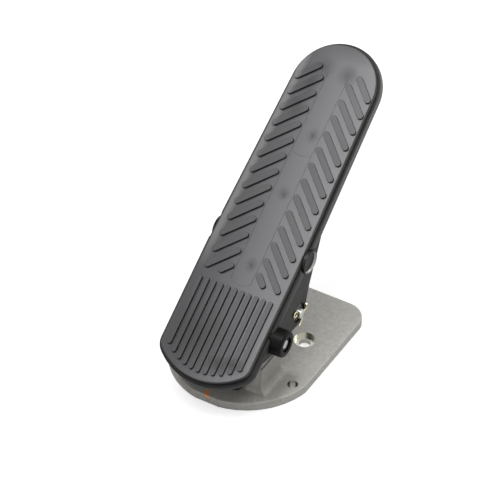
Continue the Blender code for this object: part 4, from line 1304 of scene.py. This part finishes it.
def tread_rubber():
    """The pad's rubber, as layers of tone from the bottom up, each with its mask and its strength."""
    material, tree, shader = new_material("pad_rubber")
    where = place(tree)
    flat = place(tree, turn=(-PAD_ANGLE, 0, 0), shift=FLAT_SHIFT)
    axes = tree.nodes.new("ShaderNodeSeparateXYZ")
    wire(tree, flat, axes.inputs[0])
    coordinates = tree.nodes.new("ShaderNodeTexCoord")
    facing = facing_up(tree)
    tops = span(tree, axes.outputs["Z"], below(-BAR_HEIGHT * 0.5) * MM, below(-BAR_HEIGHT * 0.95) * MM)
    # Painted shade: the tread's steep sides above the face are painted near black.
    painted_shade_walls = maths(tree, "MULTIPLY", span(tree, facing, 0.85, 0.45),
                  span(tree, axes.outputs["Z"], below(0.5) * MM, below(0) * MM))
    low_down = span(tree, axes.outputs["Z"], below(0.1) * MM, below(0.4) * MM)
    # Painted shade: the shoulder's sloping faces under the face are painted near black.
    edge = maths(tree, "MULTIPLY", span(tree, facing, 0.85, 0.55), low_down)
    sideways = tree.nodes.new("ShaderNodeSeparateXYZ")
    wire(tree, coordinates.outputs["Normal"], sideways.inputs[0])
    # Painted light: the side facing right is painted brown, as its lit side.
    lit_right_wall = maths(tree, "MULTIPLY", span(tree, sideways.outputs["X"], 0.75, 0.98), low_down)
    # Painted sheen: the face is painted paler towards the right.
    painted_sheen_side = span(tree, axes.outputs["X"], -0.022, 0.024)
    marks = use(tree, "Handling Marks", where, Size=22.0, Contrast=1.6)["Mask"]
    grain = use(tree, "Casting Grain", where, Grains=1500.0, Pits=420.0)
    # Dark spots: grime in the dimples, and painted shade at the toe and at the heel's ribs.
    dirt_and_shade = None
    for spot in DIRT_AND_SHADE_SPOTS:
        one = soft_oval(tree, flat, *spot)
        dirt_and_shade = one if dirt_and_shade is None else maths(tree, "MAXIMUM", dirt_and_shade, one)
    dirt_and_shade = maths(tree, "MULTIPLY", dirt_and_shade, span(tree, marks, 0, 1, 0.7, 1.0))
    half_width = span(tree, axes.outputs["Y"], along(TAPER_START) * MM, along(PAD_LENGTH - TOE_RADIUS) * MM,
                      PAD_HALF_WIDTH * MM, TOE_RADIUS * MM)
    from_left = maths(tree, "ADD", axes.outputs["X"], half_width)
    # Painted highlight: a pale strip along the left edge, from the middle to the toe.
    left_highlight_band = maths(tree, "MULTIPLY", span(tree, from_left, 0.0085, 0.0045),
                   span(tree, axes.outputs["Y"], along(80) * MM, along(110) * MM))
    # Painted shadow: a fine dark line at the very left edge near the toe.
    painted_shadow_line = maths(tree, "MULTIPLY", span(tree, from_left, 0.0018, 0.0011),
                      span(tree, axes.outputs["Y"], along(262) * MM, along(240) * MM))
    # Bar tops low on the pad are pulled back to dark, out of the painted sheen.
    low_tops = maths(tree, "MULTIPLY", tops,
                     span(tree, axes.outputs["Y"], along(235) * MM, along(200) * MM))
    tone = mix(tree, marks, (0.034, 0.034, 0.038), (0.051, 0.051, 0.056))
    for mask, strength, colour in (
            (painted_sheen_side, 0.70, (0.104, 0.103, 0.111)), (left_highlight_band, 0.85, (0.155, 0.152, 0.152)),
            (painted_shadow_line, 1.00, (0.016, 0.015, 0.014)), (low_tops, 0.60, (0.046, 0.046, 0.047)),
            (edge, 1.00, (0.011, 0.010, 0.009)), (lit_right_wall, 1.00, (0.060, 0.053, 0.045)),
            (dirt_and_shade, 0.75, (0.016, 0.016, 0.017)), (painted_shade_walls, 1.00, (0.006, 0.006, 0.006))):
        tone = mix(tree, maths(tree, "MULTIPLY", mask, strength), tone, colour)
    wire(tree, tone, shader.inputs["Base Color"])
    rough = span(tree, marks, 0, 1, 0.32, 0.38)
    for mask, rise in ((tops, 0.16), (dirt_and_shade, 0.14), (edge, 0.35)):
        rough = maths(tree, "ADD", rough, maths(tree, "MULTIPLY", mask, rise))
    wire(tree, rough, shader.inputs["Roughness"])
    square = maths(tree, "MULTIPLY", axes.outputs["X"], axes.outputs["X"])
    crown = maths(tree, "MULTIPLY", square, -1 / (PAD_HALF_WIDTH * MM) ** 2)
    crowned = bump(tree, shader, crown, CROWN)
    bump(tree, shader, grain["Height"], 0.03, crowned)
    return material


pad_rubber = tread_rubber()

# %% [markdown]
# ### Black paint
#
# The casting's grain shows through the paint, so the paint takes the grain as a shallow bump and keeps its
# own semi-gloss. The rim's paint is duller, and its right side and lip are painted grey, more towards the
# toe, as a painted reflection. The fulcrum bosses are blacker than the rest. Their paint is as plain as
# rubber, so the rubber's function makes it.

# %% Painted casting
def painted_casting(name, gloss, painted_reflection, dull=0.0):
    """Black paint. The third argument sets the strength of a grey painted reflection on the rim's right side,
    and dull is added to its roughness.
    """
    material, tree, shader = new_material(name)
    where = place(tree)
    grain = use(tree, "Casting Grain", where, Grains=700.0, Pits=200.0)
    marks = use(tree, "Handling Marks", where, Size=50.0, Contrast=1.4)["Mask"]
    axes = tree.nodes.new("ShaderNodeSeparateXYZ")
    wire(tree, place(tree, turn=(-PAD_ANGLE, 0, 0), shift=FLAT_SHIFT), axes.inputs[0])
    # Painted reflection: grey on the sides facing right, stronger towards the toe.
    pale = span(tree, axes.outputs["Y"], along(40) * MM, along(215) * MM, 0.1, 1.0)
    pale = maths(tree, "MULTIPLY", pale, span(tree, axes.outputs["X"], 0.012, 0.030, 0.0, painted_reflection))
    pale = maths(tree, "MULTIPLY", pale, span(tree, facing_up(tree), 0.95, 0.65))
    tone = mix(tree, marks, (0.005, 0.005, 0.005), (0.011, 0.011, 0.011))
    wire(tree, mix(tree, pale, tone, (0.19, 0.19, 0.19)), shader.inputs["Base Color"])
    wire(tree, span(tree, grain["Tone"], 0, 1, 0.36 + dull, 0.48 + dull), shader.inputs["Roughness"])
    shader.inputs["Specular IOR Level"].default_value = gloss
    bump(tree, shader, grain["Height"], 0.05)
    return material


black_casting = painted_casting("painted_casting", 0.28, 0.0)
rim_paint = painted_casting("rim_paint", 0.30, 0.75, 0.12)
boss_black = rubber("boss_black", (0.003, 0.003, 0.0028), (0.005, 0.005, 0.0045), 0.34, 0.46,
                    60.0, 1.2, 0.03)
boss_black.node_tree.nodes["Principled BSDF"].inputs["Specular IOR Level"].default_value = 0.10

# %% [markdown]
# ### Sand-cast aluminium
#
# Raw cast aluminium is a soft warm grey, darker in its pits. A painted shadow darkens the right lug's outer
# side and the plate beside it, and another the left of the plate's front, under the pedal's heel. An
# inspector's dab of orange paint sits on the front edge. Each is a mask in the material: a soft box in Object
# coordinates, the dab's broken up by noise.

# %% Cast and machined aluminium
def soft_box(tree, low, high, edge, turn):
    """A mask that is 1 inside a box in millimetres, turned about z, and falls to 0 over its soft edge."""
    split = tree.nodes.new("ShaderNodeSeparateXYZ")
    wire(tree, place(tree, turn=(0, 0, turn)), split.inputs[0])
    mask = None
    for axis, start, end in zip(range(3), low, high):
        for value, sign in ((start, 1), (end, -1)):
            side = span(tree, split.outputs[axis], (value - sign * edge) * MM, (value + sign * edge) * MM)
            mask = side if mask is None else maths(tree, "MULTIPLY", mask, side)
    return mask


def cast_aluminium():
    """The plate's raw casting, with two painted shadows and its dab of paint."""
    material, tree, shader = new_material("sand_cast_aluminium")
    where = place(tree)
    grain = use(tree, "Casting Grain", where, Grains=850.0, Pits=240.0)
    marks = use(tree, "Handling Marks", where, Size=28.0, Contrast=1.3)["Mask"]
    tone = mix(tree, grain["Tone"], (0.37, 0.36, 0.335), (0.54, 0.53, 0.50))
    tone = mix(tree, span(tree, marks, 0, 1, 0, 0.35), tone, (0.38, 0.365, 0.33))
    # Painted shadow on the right lug's outer side and the plate beside it.
    shade = soft_box(tree, (34.0, -42.0, 6.5), (50.0, -6.0, 32.0), 3.0, 0.0)
    tone = mix(tree, maths(tree, "MULTIPLY", shade, 0.65), tone, (0.18, 0.17, 0.14))
    # Painted shadow on the left of the plate's front, under the pedal's heel.
    painted_heel_shadow = soft_box(tree, (-47.0, -66.0, 6.6), (-12.0, -30.0, 9.0), 5.0, 0.0)
    tone = mix(tree, maths(tree, "MULTIPLY", painted_heel_shadow, 0.7), tone, (0.13, 0.11, 0.09))
    dab = soft_box(tree, (-32.0, -54, 5.2), (-29.0, -45.6, 9.0), 0.35, math.radians(-31))
    worn_dab = maths(tree, "MULTIPLY", dab, span(tree, grain["Tone"], 0.15, 0.45, 0.6, 1.0))
    tone = mix(tree, worn_dab, tone, (1.0, 0.36, 0.10))
    wire(tree, tone, shader.inputs["Base Color"])
    wire(tree, span(tree, grain["Tone"], 0, 1, 0.60, 0.48), shader.inputs["Roughness"])
    shader.inputs["Metallic"].default_value = 0.25
    bump(tree, shader, grain["Height"], 0.10)
    return material


def metal(name, low, high, low_rough, high_rough, turn, shift, rings=500.0, depth=0.004):
    """Turned or ground metal, its rings about one axis."""
    material, tree, shader = new_material(name)
    marks = use(tree, "Handling Marks", place(tree), Size=120.0, Contrast=1.5)["Mask"]
    tool = use(tree, "Lathe Rings", place(tree, turn=turn, shift=shift), Rings=rings)["Height"]
    wire(tree, mix(tree, marks, low, high), shader.inputs["Base Color"])
    wire(tree, span(tree, marks, 0, 1, low_rough, high_rough), shader.inputs["Roughness"])
    shader.inputs["Metallic"].default_value = 1.0
    bump(tree, shader, tool, depth)
    return material


plate_metal = cast_aluminium()
machined = metal("machined_aluminium", (0.56, 0.55, 0.48), (0.80, 0.79, 0.72), 0.20, 0.30, (0, 0, 0),
                 (-0.0327, -0.0314, 0), 700.0, 0.001)
side_on = (0, math.radians(90), 0)
on_fulcrum = (FULCRUM.z, -FULCRUM.y, 0)
on_roller = (ROLLER_AXIS.z, -ROLLER_AXIS.y, 0)
ground_steel = metal("ground_steel", (0.46, 0.46, 0.46), (0.66, 0.66, 0.65), 0.22, 0.36, side_on, on_fulcrum)
roller_steel = metal("roller_steel", (0.50, 0.50, 0.49), (0.68, 0.68, 0.66), 0.22, 0.38, side_on, on_roller)
plunger_steel = metal("plunger_steel", (0.50, 0.50, 0.49), (0.66, 0.66, 0.65), 0.20, 0.34, (0, 0, 0),
                      (0, -PLUNGER_Y * MM, 0))
yellow_zinc = metal("yellow_zinc", (0.64, 0.65, 0.55), (0.78, 0.70, 0.30), 0.22, 0.36, (0, 0, 0),
                    (0, 0, 0), depth=0.01)
worn_metal = metal("worn_metal", (0.26, 0.25, 0.24), (0.42, 0.41, 0.39), 0.30, 0.42, side_on, on_roller)
# Dark metal as painted shade: the washer in the pin's seat and the floor-bolt holes' bores.
shade_dark_metal = metal("shade_dark_metal", (0.10, 0.10, 0.10), (0.17, 0.17, 0.16), 0.40, 0.55, side_on, on_roller)
bronze = metal("oiled_bronze", (0.30, 0.19, 0.09), (0.48, 0.33, 0.17), 0.38, 0.52, side_on, on_roller, 400.0)
bush_plastic = rubber("bush_plastic", (0.012, 0.012, 0.012), (0.022, 0.022, 0.022), 0.34, 0.46,
                      90.0, 1.2, 0.015)
print("materials:", len(bpy.data.materials))

# %% [markdown]
# ## Dress the pieces
#
# Most pieces have one finish. The plate has three: its counterbores are machined bright, and the bare bores
# of its floor-bolt holes are dark metal, as painted shade, but for a bright strip facing the camera, as a
# painted highlight. The webs have three as well, for the worn wall of the dished boss and the black fulcrum
# bosses. Such faces are picked by their place.

# %% Assign the finishes
FINISHES = {
    "pedal_pad": pad_rubber, "pedal_casting": rim_paint, "pedal_webs": black_casting,
    "mounting_casting": plate_metal, "fulcrum_shaft": ground_steel, "fulcrum_bush_right": bush_plastic,
    "fulcrum_bush_left": bush_plastic, "pedal_roller": roller_steel, "roller_bush": bronze,
    "clevis_pin": roller_steel, "clevis_washer": shade_dark_metal, "split_pin": yellow_zinc,
    "valve_plunger": plunger_steel, "boot_collar": bellows_rubber, "boot_bellows": bellows_rubber,
    "button_right": bellows_rubber, "button_left": bellows_rubber,
}
for name, material in FINISHES.items():
    item = bpy.data.objects[name]
    item.data.materials.clear()
    item.data.materials.append(material)
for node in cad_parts.values():
    node.data.materials.clear()
    node.data.materials.append(ground_steel)

plate.data.materials.append(machined)
plate.data.materials.append(shade_dark_metal)


def in_bore(face, places, radius):
    """Whether a face of the plate lies inside one of some holes."""
    middle = face.calc_center_median() / MM
    near = any(math.hypot(middle.x - x, middle.y - y) < radius + 0.05 for x, y in places)
    return near and 0.2 < middle.z < PLATE_THICKNESS - 0.15


def in_counterbore(face):
    return in_bore(face, on_circle(VALVE_CIRCLE, 30), COUNTERBORE_RADIUS)


def in_floor_bolt_hole(face):
    return in_bore(face, on_circle(FLOOR_CIRCLE, -30), FLOOR_HOLE)


def on_camera_facing_glint(face):
    """The strip of each floor-bolt hole's far side that faces the camera, which gets a bright finish as a
    painted highlight.
    """
    return in_floor_bolt_hole(face) and face.normal.dot(Vector((0.516, -0.856, 0))) > 0.86


def give_slots(item, choices):
    """Gives the faces that each test picks a material slot."""
    edit(item)
    for index, test in choices:
        item.active_material_index = index
        print(item.name, "slot", index, "faces:", choose(item, "FACE", test))
        bpy.ops.object.material_slot_assign()
    leave()


give_slots(plate, ((1, in_counterbore), (2, in_floor_bolt_hole), (1, on_camera_facing_glint)))

# %% Finishes of the webs
dish_middle = Matrix.Rotation(PAD_ANGLE, 3, "X") @ Vector((0, *CUP_PLACE)) * MM + FULCRUM


def in_dish_wall(face):
    """Whether a face lies on the sloping wall of the right dish."""
    spot = face.calc_center_median() - dish_middle
    near = DISH_RADIUS - 0.3 < math.hypot(spot.y, spot.z) / MM < CUP_RADIUS - 0.1
    inward = face.normal.y * spot.y + face.normal.z * spot.z < 0
    return near and inward and 0.2 < face.normal.x < 0.8 and spot.x / MM > CUP_ENDS[1] - DISH_DEPTH


def on_boss(face):
    """Whether a face lies on a fulcrum boss."""
    spot = face.calc_center_median() - FULCRUM
    return abs(spot.x) / MM > WEB_OUTER + 0.6 and math.hypot(spot.y, spot.z) / MM < BOSS_RADIUS + 0.6


webs.data.materials.append(worn_metal)
webs.data.materials.append(boss_black)
give_slots(webs, ((1, in_dish_wall), (2, on_boss)))

# %% [markdown]
# ## Studio
#
# The photo is a catalogue shot on white. A wide pale floor, a bright surround and three large soft lamps
# high above give its soft light and pale background: the main one over the heel, a weaker one to its
# right, and one behind on the right that draws the far edges. The surround is white for the camera and
# nearly white for reflections. As a light it is brighter from above than from below.

# %% Floor
FLOOR_SIZE = 6.0
FLOOR_LEVEL = -0.0003
FLOOR_GLOW = 0.66
FLOOR_IN_REFLECTIONS = 0.30


def white_for(tree, in_reflections):
    """1 for the camera and through glass, less in reflections, and 0 for light."""
    path = tree.nodes.new("ShaderNodeLightPath")
    seen = maths(tree, "MAXIMUM", path.outputs["Is Camera Ray"], path.outputs["Is Transmission Ray"])
    mirrored = maths(tree, "MULTIPLY", path.outputs["Is Glossy Ray"], in_reflections)
    return maths(tree, "MAXIMUM", seen, mirrored)


bpy.ops.mesh.primitive_plane_add(size=FLOOR_SIZE, location=(0, 0, FLOOR_LEVEL))
floor = named("studio_floor")
settle(floor)
floor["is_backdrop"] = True
floor_paint, tree, shader = new_material("floor_paint")
shader.inputs["Base Color"].default_value = (0.50, 0.50, 0.50, 1)
shader.inputs["Roughness"].default_value = 0.9
shader.inputs["Emission Color"].default_value = (1, 1, 1, 1)
seen = white_for(tree, FLOOR_IN_REFLECTIONS)
wire(tree, maths(tree, "MULTIPLY", seen, FLOOR_GLOW), shader.inputs["Emission Strength"])
floor.data.materials.append(floor_paint)

# %% World
BRIGHT_WAY = (0.30, 0.30, 0.906)
LIGHT_BELOW = 0.08
LIGHT_ABOVE = 0.80
WORLD_IN_REFLECTIONS = 0.95
world = bpy.data.worlds.new("surround")
bpy.context.scene.world = world
world.use_nodes = True
tree = world.node_tree
tree.nodes.clear()
coordinates = tree.nodes.new("ShaderNodeTexCoord")
towards = tree.nodes.new("ShaderNodeVectorMath")
towards.operation = "DOT_PRODUCT"
towards.inputs[1].default_value = BRIGHT_WAY
wire(tree, coordinates.outputs["Generated"], towards.inputs[0])
level = span(tree, towards.outputs["Value"], -0.5, 1.0, LIGHT_BELOW, LIGHT_ABOVE)
air = tree.nodes.new("ShaderNodeBackground")
air.inputs["Color"].default_value = (1, 1, 1, 1)
wire(tree, maths(tree, "MAXIMUM", white_for(tree, WORLD_IN_REFLECTIONS), level), air.inputs["Strength"])
output = tree.nodes.new("ShaderNodeOutputWorld")
wire(tree, air.outputs[0], output.inputs["Surface"])

# %% Lamps
LAMP_TARGET = (0, 0.08, 0.14)


def lamp(name, spot, size, watts):
    """A round area lamp, aimed at the middle of the treadle."""
    bpy.ops.object.light_add(type="AREA", location=spot)
    item = bpy.context.view_layer.objects.active
    item.name = name
    item.data.shape = "DISK"
    item.data.size = size
    item.data.energy = watts
    item.rotation_euler = (Vector(LAMP_TARGET) - Vector(spot)).to_track_quat("-Z", "Y").to_euler()
    return item


lamp("key", (-0.18, -0.31, 1.37), 0.84, 11.0)
lamp("top", (0.32, -0.11, 1.38), 0.55, 2.2)
lamp("rim", (0.78, 0.90, 0.95), 0.50, 2.6)

# %% [markdown]
# ## Camera
#
# The camera's place was found by matching the plate's round front, its holes and the pad's outline to
# the photo. It stands 2.5 m away with a long lens, 31 degrees round to the right and 41 degrees up, and
# leans by a third of a degree.

# %% Camera
CAMERA_PLACE = (0.96673, -1.59640, 1.72591)
CAMERA_ROUND = math.radians(31.114)
CAMERA_UP = math.radians(40.928)
CAMERA_LEAN = math.radians(-0.341)
FOCAL_PIXELS = 3315.2
FRAME_PIXELS = 500
bpy.ops.object.camera_add(location=CAMERA_PLACE)
camera = bpy.context.view_layer.objects.active
camera.name = "studio_camera"
camera.data.sensor_width = 36
camera.data.lens = 36 * FOCAL_PIXELS / FRAME_PIXELS
camera.data.clip_end = 20
aim = (Matrix.Rotation(CAMERA_ROUND, 3, "Z") @ Matrix.Rotation(math.radians(90) - CAMERA_UP, 3, "X")
       @ Matrix.Rotation(CAMERA_LEAN, 3, "Z"))
camera.rotation_euler = aim.to_euler()
bpy.context.scene.camera = camera
bpy.context.scene.view_settings.view_transform = "Standard"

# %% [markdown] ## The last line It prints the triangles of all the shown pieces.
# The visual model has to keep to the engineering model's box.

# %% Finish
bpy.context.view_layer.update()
print("triangles:", sum(count(item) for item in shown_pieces() if item.type == "MESH"))
